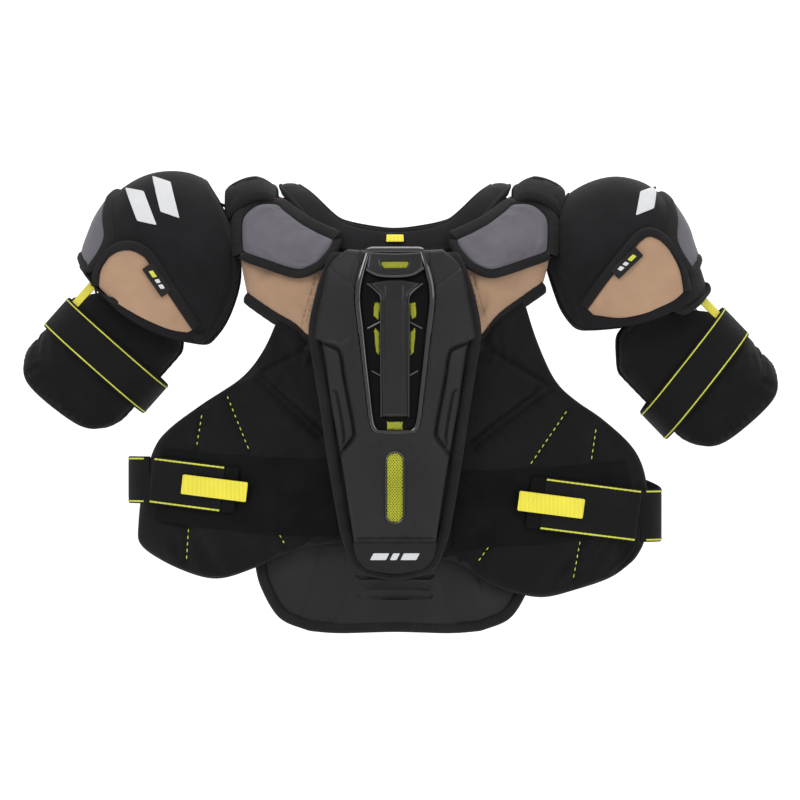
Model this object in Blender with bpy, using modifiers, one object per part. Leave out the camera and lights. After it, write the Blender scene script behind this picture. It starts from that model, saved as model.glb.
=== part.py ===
"""Ice hockey shoulder pads, modelled as the separate pieces they are sewn and moulded from.

Frame: metres, +Z up, the chest faces -Y and the wearer's left is +X.
The origin is midway between the shoulders, at the height of the neck opening's shoulder line.
The back half is the root. The chest half, both shoulder caps and every flap and strap move on it.
"""

import bpy
import bmesh
from math import radians, degrees, sin, cos, pi, sqrt, asin
from mathutils import Vector, Matrix

COLLECTION = "hockey_shoulder_pads"

# ---------------------------------------------------------------- driving dimensions
CHEST_Y = -0.120            # inner face of the chest half on the centre line
BACK_Y = 0.105              # inner face of the back half on the centre line
CURVE_LOW = 1.39            # how fast the chest wraps backwards at the ribs, 1/m
CURVE_HIGH = 2.20           # the same at the shoulders
CURVE_BACK = 1.60           # how fast the back wraps forwards
BLEND_LOW, BLEND_HIGH = -0.20, -0.09    # heights between which the chest changes curve
DOME_Z = -0.09              # above this height both halves bend over the shoulder
SHOULDER_Z = 0.010          # inner face at the top of the shoulder

WING_LIFT, WING_T = 0.006, 0.012        # lift is the middle of a layer above the inner face
YOKE_LIFT, YOKE_T = 0.007, 0.012
BAND_LIFT, BAND_T = 0.0150, 0.0020
STRAP_LIFT, STRAP_T = 0.0188, 0.0026
PULL_LIFT, PULL_T = 0.0228, 0.0024
CLAVICLE_LIFT, CLAVICLE_T = 0.0205, 0.0100
CARRIER_LIFT, CARRIER_T = 0.0270, 0.0080
PLATE_LIFT, PLATE_T = 0.0395, 0.0140
BELLY_LIFT, BELLY_T = -0.0085, 0.0110
ARCH_LIFT, ARCH_T = 0.0235, 0.0080
COLLAR_LIFT, COLLAR_T = 0.0065, 0.0110

CAP_Z = -0.043                          # height of each shoulder cap's centre
CAP_TILT = radians(19)                  # cap axis, outwards from straight down
CAP_RY = 0.095                          # its half depth
CAP_SKIRT = 0.072                       # its straight wall is built to twice this below the centre
CAP_POWER = 2.6                         # roundness of its horizontal section
COVER_T, SHELL_T = 0.007, 0.004

GUARD_RS, GUARD_RY = 0.062, 0.064       # half width and half depth of the upper arm guard
GUARD_T, GUARD_PLATE_T = 0.009, 0.003
GUARD_LENGTH = 0.117
GUARD_POWER = 2.5
GUARD_INSET = 0.052                     # the guard's centre line, inwards of its pivot
ARM_STRAP_T, ARM_STRAP_W = 0.0024, 0.038

# For each side: the guard's pivot (x, z) and tilt, the skew of its strap, the x of the cap's
# centre, its half width outwards and inwards, its crown height, its hem (lowest point d, at s, and
# curvature), its neck-side edge (furthest reach, upper bend, lower bend, curvature) and its tag.
SIDES = {
    "right": dict(sign=-1, pivot=(0.3233, -0.0853), tilt=radians(41.5), skew=0.0, cap_x=0.2455,
                  half_out=0.083, half_in=0.094, crown=0.0945, hem=(0.0800, -0.030, 3.2),
                  neck=(-0.0850, 0.012, 0.030, 6.2),
                  tag=((-0.0041, 0.0253), (-0.80, 0.59))),
    "left": dict(sign=1, pivot=(0.3319, -0.1037), tilt=radians(44.0), skew=-0.14, cap_x=0.2405,
                 half_out=0.0765, half_in=0.088, crown=0.0880, hem=(0.0740, 0.012, 2.4),
                 neck=(-0.0780, -0.007, 0.022, 7.6),
                 tag=((0.0003, 0.0079), (-0.908, 0.418))),
}
TAN_PANEL = {
    "right": dict(top=[(-0.0560, 0.0610), (-0.0200, 0.0345), (0.0114, 0.0095), (0.0330, 0.0050),
                       (0.0510, 0.0180)],
                  outer=[(0.0510, 0.0180), (0.0545, 0.0340), (0.0500, 0.0500)],
                  low=[(-0.0520, 0.0650), (-0.0118, 0.0670), (0.0500, 0.0500)]),
    "left": dict(top=[(-0.0540, 0.0400), (-0.0230, 0.0180), (0.0123, -0.0042), (0.0330, -0.0110),
                      (0.0460, 0.0070)],
                 outer=[(0.0460, 0.0070), (0.0490, 0.0310), (0.0460, 0.0520)],
                 low=[(-0.0500, 0.0480), (0.0000, 0.0620), (0.0460, 0.0520)]),
}

PALETTE = {
    "black_fabric": ((0.021, 0.020, 0.023), 0.92, 0.0),
    "elastic": ((0.010, 0.010, 0.010), 0.90, 0.0),
    "loop_pile": ((0.006, 0.006, 0.007), 1.00, 0.0),
    "grey_fabric": ((0.150, 0.140, 0.158), 0.90, 0.0),
    "tan_fabric": ((0.510, 0.350, 0.230), 0.92, 0.0),
    "moulded_foam": ((0.046, 0.046, 0.049), 0.62, 0.0),
    "gloss_plastic": ((0.010, 0.010, 0.011), 0.22, 0.0),
    "hard_plastic": ((0.030, 0.030, 0.032), 0.45, 0.0),
    "lime_mesh": ((0.300, 0.310, 0.030), 0.80, 0.0),
    "yellow_webbing": ((0.800, 0.720, 0.060), 0.55, 0.0),
    "label": ((0.030, 0.030, 0.030), 0.80, 0.0),
}


# ---------------------------------------------------------------- helpers
def clear_scene():
    for obj in list(bpy.data.objects):
        bpy.data.objects.remove(obj, do_unlink=True)


def material(name):
    mat = bpy.data.materials.get(name)
    if mat is None:
        colour, rough, metal = PALETTE[name]
        mat = bpy.data.materials.new(name)
        mat.use_nodes = True
        shader = mat.node_tree.nodes["Principled BSDF"]
        shader.inputs["Base Color"].default_value = (*colour, 1.0)
        shader.inputs["Roughness"].default_value = rough
        shader.inputs["Metallic"].default_value = metal
    return mat


def add_object(name, mesh_or_bm, mat, origin=(0, 0, 0)):
    """Link a mesh, given in world coordinates, as one named part with its origin on its joint."""
    if isinstance(mesh_or_bm, bmesh.types.BMesh):
        mesh = bpy.data.meshes.new(name)
        mesh_or_bm.to_mesh(mesh)
        mesh_or_bm.free()
    else:
        mesh = mesh_or_bm
    mesh.transform(Matrix.Translation(-Vector(origin)))
    mesh.materials.append(material(mat))
    mesh.shade_smooth()
    mesh.set_sharp_from_angle(angle=radians(40))
    obj = bpy.data.objects.new(name, mesh)
    obj.location = origin
    bpy.data.collections[COLLECTION].objects.link(obj)
    return obj


def solidify(obj, thickness, offset=0.0):
    mod = obj.modifiers.new("thickness", "SOLIDIFY")
    mod.thickness = thickness
    mod.offset = offset
    return mod


def smooth_step(value, low, high):
    t = min(1.0, max(0.0, (value - low) / (high - low)))
    return t * t * (3 - 2 * t)


def curve_point(points, t):
    """A point at 0..1 along the smooth curve through the given points, by chord length."""
    pts = [Vector((*p, 0.0)) for p in points]
    chords = [(b - a).length for a, b in zip(pts, pts[1:])]
    reach = t * sum(chords)
    i = 0
    while i < len(chords) - 1 and reach > chords[i]:
        reach -= chords[i]
        i += 1
    f = min(1.0, reach / chords[i])
    p1, p2 = pts[i], pts[i + 1]
    p0 = pts[i - 1] if i > 0 else p1 * 2 - p2
    p3 = pts[i + 2] if i + 2 < len(pts) else p2 * 2 - p1
    m1 = (p2 - p0) * 0.5
    m2 = (p3 - p1) * 0.5
    return (p1 * (2 * f**3 - 3 * f**2 + 1) + m1 * (f**3 - 2 * f**2 + f)
            + p2 * (-2 * f**3 + 3 * f**2) + m2 * (f**3 - f**2)).to_2d()


def patch_grid(top, bottom, inner, outer, across, down):
    """A grid filling the outline of four curves, as (u, v) rows of 2D points.

    top and bottom run from the inner side to the outer one, inner and outer from top to bottom.
    """
    rows = []
    for j in range(down + 1):
        v = j / down
        left, right = curve_point(inner, v), curve_point(outer, v)
        row = []
        for i in range(across + 1):
            u = i / across
            up, low = curve_point(top, u), curve_point(bottom, u)
            ruled = left * (1 - u) + right * u + up * (1 - v) + low * v
            corners = (Vector(top[0]) * (1 - u) * (1 - v) + Vector(top[-1]) * u * (1 - v)
                       + Vector(bottom[0]) * (1 - u) * v + Vector(bottom[-1]) * u * v)
            row.append(ruled - corners)
        rows.append(row)
    return rows


def grid_surface(rows, place):
    """An open quad sheet whose points are the given rows, placed in space by a function."""
    down, across = len(rows) - 1, len(rows[0]) - 1
    bm = bmesh.new()
    bmesh.ops.create_grid(bm, x_segments=across, y_segments=down, size=0.5)
    bm.verts.ensure_lookup_table()
    for index, vert in enumerate(bm.verts):
        j, i = divmod(index, across + 1)
        vert.co = place(*rows[j][i])
    return bm


def mirrored(points, sign):
    return [(sign * x, z) for x, z in points]


# ---------------------------------------------------------------- body form
def unroll(z, lift):
    """Height above the dome line as a length along the shoulder bend."""
    if z <= DOME_Z:
        return z
    radius = SHOULDER_Z + lift - DOME_Z
    return DOME_Z + asin(min(1.0, (z - DOME_Z) / radius)) * radius


def roll(y, q, lift):
    """Bend a flat front or back point over the shoulder; q is its unrolled height."""
    if q <= DOME_Z:
        return y, q
    radius = SHOULDER_Z + lift - DOME_Z
    angle = min(pi / 2, (q - DOME_Z) / radius)
    return y * cos(angle), DOME_Z + radius * sin(angle)


def chest_point(x, q, lift):
    curve = CURVE_LOW + (CURVE_HIGH - CURVE_LOW) * smooth_step(q, BLEND_LOW, BLEND_HIGH)
    y = CHEST_Y + curve * x * x - lift * sqrt(1 + (2 * curve * x) ** 2)
    y, z = roll(y, q, lift)
    return Vector((x, y, z))


def back_point(x, q, lift):
    y = BACK_Y - CURVE_BACK * x * x + lift * sqrt(1 + (2 * CURVE_BACK * x) ** 2)
    y, z = roll(y, q, lift)
    return Vector((x, y, z))


def body_pad(name, form, sides, lift, thickness, cells, mat, origin=(0, 0, 0)):
    """A pad of even thickness laid on the chest or back form; sides are (x, z) outlines."""
    flat = [[(x, unroll(z, lift)) for x, z in side] for side in sides]
    rows = patch_grid(*flat, *cells)
    bm = grid_surface(rows, lambda x, q: form(x, q, lift))
    obj = add_object(name, bm, mat, origin)
    solidify(obj, thickness)
    return obj


# ---------------------------------------------------------------- chest half
WING = {
    "right": dict(
        top=[(0.002, -0.136), (0.050, -0.138), (0.086, -0.137), (0.102, -0.122), (0.123, -0.109)],
        outer=[(0.123, -0.109), (0.138, -0.142), (0.161, -0.171), (0.203, -0.199), (0.240, -0.226),
               (0.257, -0.249), (0.270, -0.299), (0.274, -0.343)],
        bottom=[(0.002, -0.343), (0.060, -0.343), (0.108, -0.352), (0.150, -0.371), (0.189, -0.382),
                (0.229, -0.372), (0.264, -0.354), (0.274, -0.343)],
        inner=[(0.002, -0.136), (0.002, -0.343)],
    ),
    "left": dict(
        top=[(0.002, -0.136), (0.050, -0.138), (0.086, -0.137), (0.106, -0.112), (0.136, -0.090)],
        outer=[(0.136, -0.090), (0.149, -0.131), (0.168, -0.173), (0.190, -0.195), (0.222, -0.217),
               (0.256, -0.250), (0.268, -0.289), (0.266, -0.340), (0.255, -0.363)],
        bottom=[(0.002, -0.355), (0.060, -0.362), (0.095, -0.383), (0.120, -0.394), (0.155, -0.401),
                (0.192, -0.393), (0.229, -0.381), (0.255, -0.363)],
        inner=[(0.002, -0.136), (0.002, -0.355)],
    ),
}

YOKE_TOP_Z = 0.0155         # where the chest half stops short of the shoulder hinge
YOKE_LOWER = {
    "right": [(0.090, -0.131), (0.104, -0.117), (0.126, -0.104), (0.155, -0.084)],
    "left": [(0.089, -0.131), (0.108, -0.107), (0.136, -0.086), (0.155, -0.073)],
}


def chest_panels():
    for side, setting in SIDES.items():
        shape = WING[side]
        sides = [mirrored(shape[key], setting["sign"]) for key in ("top", "bottom", "inner", "outer")]
        body_pad(f"chest_panel_{side}", chest_point, sides, WING_LIFT, WING_T, (8, 7), "black_fabric")
    top = [(-0.062, -0.044), (0.0, -0.052), (0.062, -0.044)]
    bottom = [(-0.084, -0.132), (0.084, -0.132)]
    body_pad("upper_chest_pad", chest_point,
             [top, bottom, [top[0], bottom[0]], [top[-1], bottom[-1]]],
             WING_LIFT, WING_T, (6, 4), "black_fabric")


def loop_bands():
    """The wide strip of loop pile that the strap's hook tab grips, on each chest panel."""
    for side, setting in SIDES.items():
        sign = setting["sign"]
        slope = 0.0 if side == "right" else 0.012
        top = [(0.060, -0.258 - slope), (0.150, -0.256 - slope), (0.240, -0.250 - slope)]
        bottom = [(0.060, -0.334 - slope), (0.150, -0.331 - slope), (0.252, -0.322 - slope)]
        sides = [top, bottom, [top[0], bottom[0]], [top[-1], (0.249, -0.29 - slope), bottom[-1]]]
        body_pad(f"loop_band_{side}", chest_point, [mirrored(s, sign) for s in sides],
                 BAND_LIFT, BAND_T, (8, 2), "loop_pile")


def yokes():
    for side, setting in SIDES.items():
        lower = YOKE_LOWER[side]
        top = [(0.117, YOKE_TOP_Z), (0.155, YOKE_TOP_Z)]
        inner = [top[0], (0.102, 0.001), (0.082, -0.026), (0.070, -0.045), (0.077, -0.085), lower[0]]
        outer = [top[-1], (0.157, -0.030), lower[-1]]
        sides = [top, lower, inner, outer]
        body_pad(f"yoke_{side}", chest_point, [mirrored(s, setting["sign"]) for s in sides],
                 YOKE_LIFT, YOKE_T, (5, 7), "tan_fabric")


def collar(name, form, centre_low, centre_high):
    """Half of the padded band round the neck opening."""
    top = [(-0.098, 0.0125), (-0.072, -0.004), (-0.040, centre_high + 0.005), (0.0, centre_high),
           (0.040, centre_high + 0.005), (0.072, -0.004), (0.098, 0.0125)]
    low = [(-0.109, 0.0125), (-0.089, -0.004), (-0.0625, -0.038), (0.0, centre_low),
           (0.0625, -0.038), (0.089, -0.004), (0.109, 0.0125)]
    body_pad(name, form, [top, low, [top[0], low[0]], [top[-1], low[-1]]],
             COLLAR_LIFT, COLLAR_T, (12, 2), "black_fabric")


def collar_tag():
    """The small loop of yellow webbing folded over the front of the collar."""
    top = [(-0.009, -0.0285), (0.009, -0.0285)]
    low = [(-0.009, -0.0350), (0.009, -0.0350)]
    body_pad("collar_tag", chest_point, [top, low, [top[0], low[0]], [top[-1], low[-1]]],
             COLLAR_LIFT + COLLAR_T / 2 + 0.0018, 0.0014, (2, 1), "yellow_webbing")


# ---------------------------------------------------------------- sternum guard
BIB_TOP_Z = -0.040
BIB_EDGE = [(0.067, BIB_TOP_Z), (0.080, -0.075), (0.0895, -0.120), (0.080, -0.185), (0.070, -0.255),
            (0.058, -0.325)]
PLATE_EDGE = [(0.058, -0.043), (0.072, -0.075), (0.080, -0.118), (0.068, -0.185), (0.059, -0.250),
              (0.046, -0.320)]
INSERT_LOW, INSERT_HEIGHT, INSERT_HALF = -0.226, 0.128, 0.022     # the pocket in the plate
INSERT_T = 0.003
POCKET_FLOOR_Y = CHEST_Y - PLATE_LIFT + 0.0005      # the insert's pocket is half the plate deep
POCKET_GAP = 0.0006
BAR_HALF, BAR_T, BAR_START = 0.0115, 0.008, 0.012   # the raised bar, from BAR_START up
VENT_INNER, VENT_OUTER, VENT_START, VENT_T = 0.0125, 0.0205, 0.050, 0.0012
STACK_GAP = 0.0004
SLOT_HALF, SLOT_LOW, SLOT_HIGH = 0.0085, -0.325, -0.247
SLOT_DEEP, SLOT_SHALLOW = 0.0032, 0.0008            # the slot's mesh, in front of the plate's face


def sternum_hinge():
    return (0.0, chest_point(0.0, BIB_TOP_Z, CARRIER_LIFT).y, BIB_TOP_Z + 0.006)


def sternum_carrier():
    edge = BIB_EDGE
    top = [(-edge[0][0], edge[0][1]), (0.0, BIB_TOP_Z - 0.004), edge[0]]
    bottom = [(-edge[-1][0], edge[-1][1]), (-0.050, -0.352), (-0.038, -0.372), (0.0, -0.381),
              (0.038, -0.372), (0.050, -0.352), edge[-1]]
    body_pad("sternum_carrier", chest_point, [top, bottom, mirrored(edge, -1), edge],
             CARRIER_LIFT, CARRIER_T, (8, 9), "black_fabric", sternum_hinge())


def box_mesh(x_pair, y_pair, z_pair):
    """A box between pairs of coordinates."""
    bm = bmesh.new()
    bmesh.ops.create_cube(bm, size=1.0)
    size = [b - a for a, b in (x_pair, y_pair, z_pair)]
    centre = [(a + b) / 2 for a, b in (x_pair, y_pair, z_pair)]
    bmesh.ops.scale(bm, vec=size, verts=bm.verts)
    bmesh.ops.translate(bm, vec=centre, verts=bm.verts)
    return bm


def block(name, x_pair, y_pair, z_pair):
    """A cutter box, kept out of the part's own collection."""
    bm = box_mesh(x_pair, y_pair, z_pair)
    mesh = bpy.data.meshes.new(name)
    bm.to_mesh(mesh)
    bm.free()
    obj = bpy.data.objects.new(name, mesh)
    bpy.data.collections["cutters"].objects.link(obj)
    obj.hide_render = True
    obj.display_type = "WIRE"
    return obj


def cut(obj, cutter):
    mod = obj.modifiers.new("pocket", "BOOLEAN")
    mod.operation = "DIFFERENCE"
    mod.solver = "EXACT"
    mod.object = cutter


def sternum_plate():
    edge = PLATE_EDGE
    top = [(-edge[0][0], edge[0][1]), (0.0, -0.046), edge[0]]
    bottom = [(-edge[-1][0], edge[-1][1]), (-0.040, -0.356), (0.0, -0.366), (0.040, -0.356), edge[-1]]
    obj = body_pad("sternum_plate", chest_point, [top, bottom, mirrored(edge, -1), edge],
                   PLATE_LIFT, PLATE_T, (8, 9), "moulded_foam", sternum_hinge())
    half = INSERT_HALF + POCKET_GAP
    cut(obj, block("pocket_cutter", (-half, half), (2 * CHEST_Y, POCKET_FLOOR_Y),
                   (INSERT_LOW - POCKET_GAP, INSERT_LOW + INSERT_HEIGHT)))


def box_part(name, x_pair, y_pair, z_pair, mat, origin=(0, 0, 0), bevel=0.0):
    obj = add_object(name, box_mesh(x_pair, y_pair, z_pair), mat, origin)
    if bevel:
        mod = obj.modifiers.new("edges", "BEVEL")
        mod.width = bevel
        mod.segments = 1
    return obj


def sternum_insert():
    """The glossy frame and the raised bar in the plate's pocket, with a vent strip each side."""
    floor = POCKET_FLOOR_Y - POCKET_GAP
    low = INSERT_LOW
    high = low + INSERT_HEIGHT - POCKET_GAP
    box_part("sternum_insert", (-INSERT_HALF, INSERT_HALF), (floor - INSERT_T, floor), (low, high),
             "gloss_plastic", sternum_hinge())
    face = floor - INSERT_T - STACK_GAP
    box_part("sternum_bar", (-BAR_HALF, BAR_HALF), (face - BAR_T, face),
             (low + BAR_START, high - 0.002), "hard_plastic", sternum_hinge(), bevel=0.002)
    for name, sign in (("sternum_vent_right", -1), ("sternum_vent_left", 1)):
        x_pair = sorted((sign * VENT_INNER, sign * VENT_OUTER))
        box_part(name, x_pair, (face - VENT_T, face), (low + VENT_START, high - 0.004),
                 "lime_mesh", sternum_hinge())
    slot_y = CHEST_Y - PLATE_LIFT - PLATE_T / 2
    box_part("sternum_slot_mesh", (-SLOT_HALF, SLOT_HALF), (slot_y - SLOT_DEEP, slot_y - SLOT_SHALLOW),
             (SLOT_LOW, SLOT_HIGH), "lime_mesh", sternum_hinge(), bevel=0.0006)


# ---------------------------------------------------------------- belly and clavicle
def belly_pad():
    top = [(-0.150, -0.345), (0.0, -0.335), (0.150, -0.345)]
    side = [(0.150, -0.345), (0.141, -0.390), (0.118, -0.425), (0.090, -0.435)]
    bottom = [(-0.090, -0.435), (0.0, -0.438), (0.090, -0.435)]
    body_pad("belly_pad", chest_point, [top, bottom, mirrored(side, -1), side],
             BELLY_LIFT, BELLY_T, (10, 4), "moulded_foam")


CLAVICLE_TOP = [(0.070, -0.033), (0.096, -0.007), (0.118, 0.012)]
CLAVICLE_LOWER = [(0.083, -0.060), (0.100, -0.065), (0.130, -0.060), (0.153, -0.050)]
CLAVICLE_INNER = [CLAVICLE_TOP[0], (0.071, -0.048), CLAVICLE_LOWER[0]]
CLAVICLE_OUTER = [CLAVICLE_TOP[-1], (0.150, 0.008), (0.1555, -0.018), CLAVICLE_LOWER[-1]]


def clavicle_axis(sign):
    """The two ends of the sewn edge that the clavicle pad folds up about."""
    ends = []
    for x, z in (CLAVICLE_TOP[0], CLAVICLE_TOP[-1]):
        q = unroll(z, CLAVICLE_LIFT)
        ends.append(chest_point(sign * x, q, CLAVICLE_LIFT))
    return ends


def clavicle_pads():
    for side, setting in SIDES.items():
        outline = (CLAVICLE_TOP, CLAVICLE_LOWER, CLAVICLE_INNER, CLAVICLE_OUTER)
        sides = [mirrored(edge, setting["sign"]) for edge in outline]
        body_pad(f"clavicle_pad_{side}", chest_point, sides, CLAVICLE_LIFT, CLAVICLE_T, (6, 5),
                 "grey_fabric", clavicle_axis(setting["sign"])[0])


# ---------------------------------------------------------------- front straps
STRAP = {
    "right": dict(outer=(0.258, -0.279), inner=(0.181, -0.288), half=0.0250),
    "left": dict(outer=(0.258, -0.317), inner=(0.155, -0.303), half=0.0280),
}


def strap_sides(outer, inner, half):
    """Outline of a strip between two middle points, as top, bottom, inner and outer sides."""
    top = [(inner[0], inner[1] + half), (outer[0], outer[1] + half)]
    low = [(inner[0], inner[1] - half), (outer[0], outer[1] - half)]
    return [top, low, [top[0], low[0]], [top[-1], low[-1]]]


def along(outer, inner, distance):
    """A point on the strap's middle line, a distance inwards of its outer end."""
    start, end = Vector(outer), Vector(inner)
    point = start + (end - start).normalized() * distance
    return (point.x, point.y)


def strap_hinge(side):
    sign = SIDES[side]["sign"]
    x, z = STRAP[side]["outer"]
    return chest_point(sign * x, z, STRAP_LIFT)


def front_straps():
    for side, setting in SIDES.items():
        sign = setting["sign"]
        shape = STRAP[side]
        outer, inner, half = shape["outer"], shape["inner"], shape["half"]
        length = (Vector(inner) - Vector(outer)).length
        origin = strap_hinge(side)
        body_pad(f"chest_strap_{side}", chest_point,
                 [mirrored(s, sign) for s in strap_sides(outer, inner, half)],
                 STRAP_LIFT, STRAP_T, (5, 1), "elastic", origin)
        hook_start = along(outer, inner, length + 0.0006)
        hook_end = along(outer, inner, length + 0.0150)
        body_pad(f"hook_tab_{side}", chest_point,
                 [mirrored(s, sign) for s in strap_sides(hook_start, hook_end, half * 0.96)],
                 STRAP_LIFT, STRAP_T, (1, 1), "loop_pile", origin)
        pull_start = along(outer, inner, length - 0.044)
        pull_end = along(outer, inner, length + 0.0260)
        body_pad(f"pull_tab_{side}", chest_point,
                 [mirrored(s, sign) for s in strap_sides(pull_start, pull_end, 0.0100)],
                 PULL_LIFT, PULL_T, (3, 1), "yellow_webbing", origin)


# ---------------------------------------------------------------- back half
def back_panels():
    edge = [(0.120, -0.060), (0.118, -0.110), (0.140, -0.170), (0.185, -0.215), (0.200, -0.270),
            (0.180, -0.310)]
    top = [(-0.120, -0.060), (-0.060, -0.052), (0.0, -0.050), (0.060, -0.052), (0.120, -0.060)]
    bottom = [(-0.180, -0.310), (-0.110, -0.330), (0.0, -0.335), (0.110, -0.330), (0.180, -0.310)]
    body_pad("back_panel", back_point, [top, bottom, mirrored(edge, -1), edge],
             WING_LIFT, WING_T, (10, 8), "black_fabric")
    for side, setting in SIDES.items():
        top = [(0.117, YOKE_TOP_Z), (0.152, YOKE_TOP_Z)]
        low = [(0.070, -0.0485), (0.122, -0.056)]
        inner = [top[0], (0.102, 0.001), (0.082, -0.026), low[0]]
        outer = [top[-1], (0.148, -0.020), low[-1]]
        body_pad(f"back_yoke_{side}", back_point,
                 [mirrored(s, setting["sign"]) for s in (top, low, inner, outer)],
                 YOKE_LIFT, YOKE_T, (4, 5), "black_fabric")
        inner = [(0.045, -0.075), (0.042, -0.150), (0.050, -0.225)]
        outer = [(0.108, -0.078), (0.112, -0.150), (0.135, -0.225)]
        top, low = [inner[0], outer[0]], [inner[-1], outer[-1]]
        body_pad(f"scapula_pad_{side}", back_point,
                 [mirrored(s, setting["sign"]) for s in (top, low, inner, outer)],
                 WING_LIFT + 0.012, 0.010, (4, 5), "grey_fabric")


def spine_guard():
    edge = [(0.030, -0.080), (0.034, -0.140), (0.030, -0.230), (0.024, -0.300)]
    top = [(-0.030, -0.080), (0.030, -0.080)]
    low = [(-0.024, -0.300), (0.024, -0.300)]
    body_pad("spine_pad", back_point, [top, low, mirrored(edge, -1), edge],
             WING_LIFT + 0.0140, 0.011, (4, 6), "black_fabric")
    face = BACK_Y + WING_LIFT + 0.0140 + 0.0055 + 0.0012
    box_part("spine_plate", (-0.024, 0.024), (face, face + 0.010), (-0.285, -0.080),
             "moulded_foam", bevel=0.004)


def kidney_pad():
    top = [(-0.110, -0.337), (0.0, -0.342), (0.110, -0.337)]
    side = [(0.110, -0.337), (0.105, -0.375), (0.085, -0.400)]
    low = [(-0.085, -0.400), (0.0, -0.405), (0.085, -0.400)]
    body_pad("kidney_pad", back_point, [top, low, mirrored(side, -1), side],
             WING_LIFT, WING_T, (6, 3), "black_fabric", (0.0, BACK_Y + WING_LIFT, -0.337))


def arch_pads():
    """The small arched pads that bridge the gap between collar and cap over each shoulder."""
    front_end, rear_end = radians(-25), radians(42)
    for side, setting in SIDES.items():
        sign = setting["sign"]
        rows = []
        for j in range(7):
            angle = front_end + (rear_end - front_end) * j / 6
            taper = 0.85 + 0.15 * cos(angle)
            rows.append([(sign * (0.1465 + 0.0205 * taper * (2 * i / 3 - 1)), angle)
                         for i in range(4)])

        def place(x, angle):
            radius = SHOULDER_Z + ARCH_LIFT - DOME_Z
            depth = (abs(CHEST_Y) - CURVE_HIGH * x * x) + ARCH_LIFT
            return Vector((x, depth * sin(angle), DOME_Z + radius * cos(angle)))

        obj = add_object(f"arch_pad_{side}", grid_surface(rows, place), "black_fabric")
        solidify(obj, ARCH_T)


def rear_straps():
    """The elastic that runs from the back panel, forwards round the ribs, to the chest strap."""
    for side, setting in SIDES.items():
        sign = setting["sign"]
        outer, half = STRAP[side]["outer"], STRAP[side]["half"]
        path = [(0.172, 0.078), (0.215, 0.072), (0.258, 0.050), (0.280, 0.018), (0.2825, -0.016)]
        heights = [-0.285, outer[1]]
        rows = []
        for j in (1, -1):
            row = []
            for i in range(9):
                t = i / 8
                x, y = curve_point(path, t)
                row.append((sign * x, y, heights[0] * (1 - t) + heights[1] * t + j * half))
            rows.append(row)
        bm = grid_surface(rows, lambda x, y, z: Vector((x, y, z)))
        obj = add_object(f"rear_strap_{side}", bm, "elastic")
        solidify(obj, STRAP_T)


# ---------------------------------------------------------------- shoulder caps
def arm_axes(sign, tilt):
    """Outward and downward unit vectors of an arm piece tilted out from straight down."""
    outward = Vector((sign * cos(tilt), 0.0, sin(tilt)))
    down = Vector((sign * sin(tilt), 0.0, -cos(tilt)))
    return outward, down


def cap_place(setting, s, y, d):
    outward, down = arm_axes(setting["sign"], CAP_TILT)
    centre = Vector((setting["sign"] * setting["cap_x"], 0.0, CAP_Z))
    return centre + outward * s + down * d + Vector((0, y, 0))


def cap_hinge(sign):
    return (sign * 0.179, 0.0, 0.044)


def cap_ring(setting, across, d, inset):
    """Half width on the side of across, and half depth, at a distance d below the centre."""
    scale = 1.0
    if d < 0:
        scale = sqrt(max(0.0, 1 - (d / (setting["crown"] - inset)) ** 2))
    half_s = setting["half_in"] if across < 0 else setting["half_out"]
    return (half_s - inset) * scale, (CAP_RY - inset) * scale


def super_direction(angle, power):
    """A point at an angle on the unit rounded square; angle 0 is +Y and pi / 2 is outwards."""
    c, s = cos(angle), sin(angle)
    size = (abs(c) ** power + abs(s) ** power) ** (-1 / power)
    return s * size, c * size


def edge_cuts(setting, back):
    """Planes (point, normal) that trim the hem and the neck side along bowed edges, set back."""
    lowest, middle, curve = setting["hem"]
    cuts = []
    for s in (-0.055, -0.018, 0.018, 0.055):
        bend = s - middle
        cuts.append(((s, 0, lowest - 1.3 * back - curve * bend ** 2), (2 * curve * bend, 0, 1)))
    reach, upper, lower, curve = setting["neck"]
    for d in (-0.072, -0.050, -0.030, 0.021, 0.052, 0.070):
        bend = min(0.0, d - upper) + max(0.0, d - lower)
        cuts.append(((reach + back + curve * bend ** 2, 0, d), (-1, 0, 2 * curve * bend)))
    return cuts


def cap_dome(name, setting, inset, thickness, segments, rings, mat, back):
    """An open dome with straight sides, cut away on the neck side, thickened inwards."""
    bm = bmesh.new()
    bmesh.ops.create_uvsphere(bm, u_segments=segments, v_segments=rings, radius=1.0)
    for vert in bm.verts:
        level = max(-1.0, min(1.0, vert.co.z))
        angle = Vector((vert.co.y, vert.co.x)).angle_signed(Vector((1, 0)), 0.0)
        across, deep = super_direction(angle, CAP_POWER)
        if level >= 0:
            d = -(setting["crown"] - inset) * level
        else:
            d = 2 * CAP_SKIRT * degrees(asin(-level)) / 90
        half_s, half_y = cap_ring(setting, across, min(d, 0.0), inset)
        if level < -0.999:
            half_s = half_y = 0.0
        vert.co = Vector((half_s * across, half_y * deep, d))
    for point, normal in edge_cuts(setting, back):
        everything = bm.verts[:] + bm.edges[:] + bm.faces[:]
        bmesh.ops.bisect_plane(bm, geom=everything, plane_co=point, plane_no=normal, clear_outer=True)
    bmesh.ops.remove_doubles(bm, verts=bm.verts, dist=0.0012)
    for vert in bm.verts:
        vert.co = cap_place(setting, vert.co.x, vert.co.y, vert.co.z)
    bmesh.ops.recalc_face_normals(bm, faces=bm.faces)
    centre = cap_place(setting, 0, 0, 0)
    bm.faces.ensure_lookup_table()
    probe = bm.faces[0]
    if probe.normal.dot(probe.calc_center_median() - centre) < 0:
        bmesh.ops.reverse_faces(bm, faces=bm.faces)
    obj = add_object(name, bm, mat, cap_hinge(setting["sign"]))
    solidify(obj, thickness, offset=-1.0)
    return obj


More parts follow.
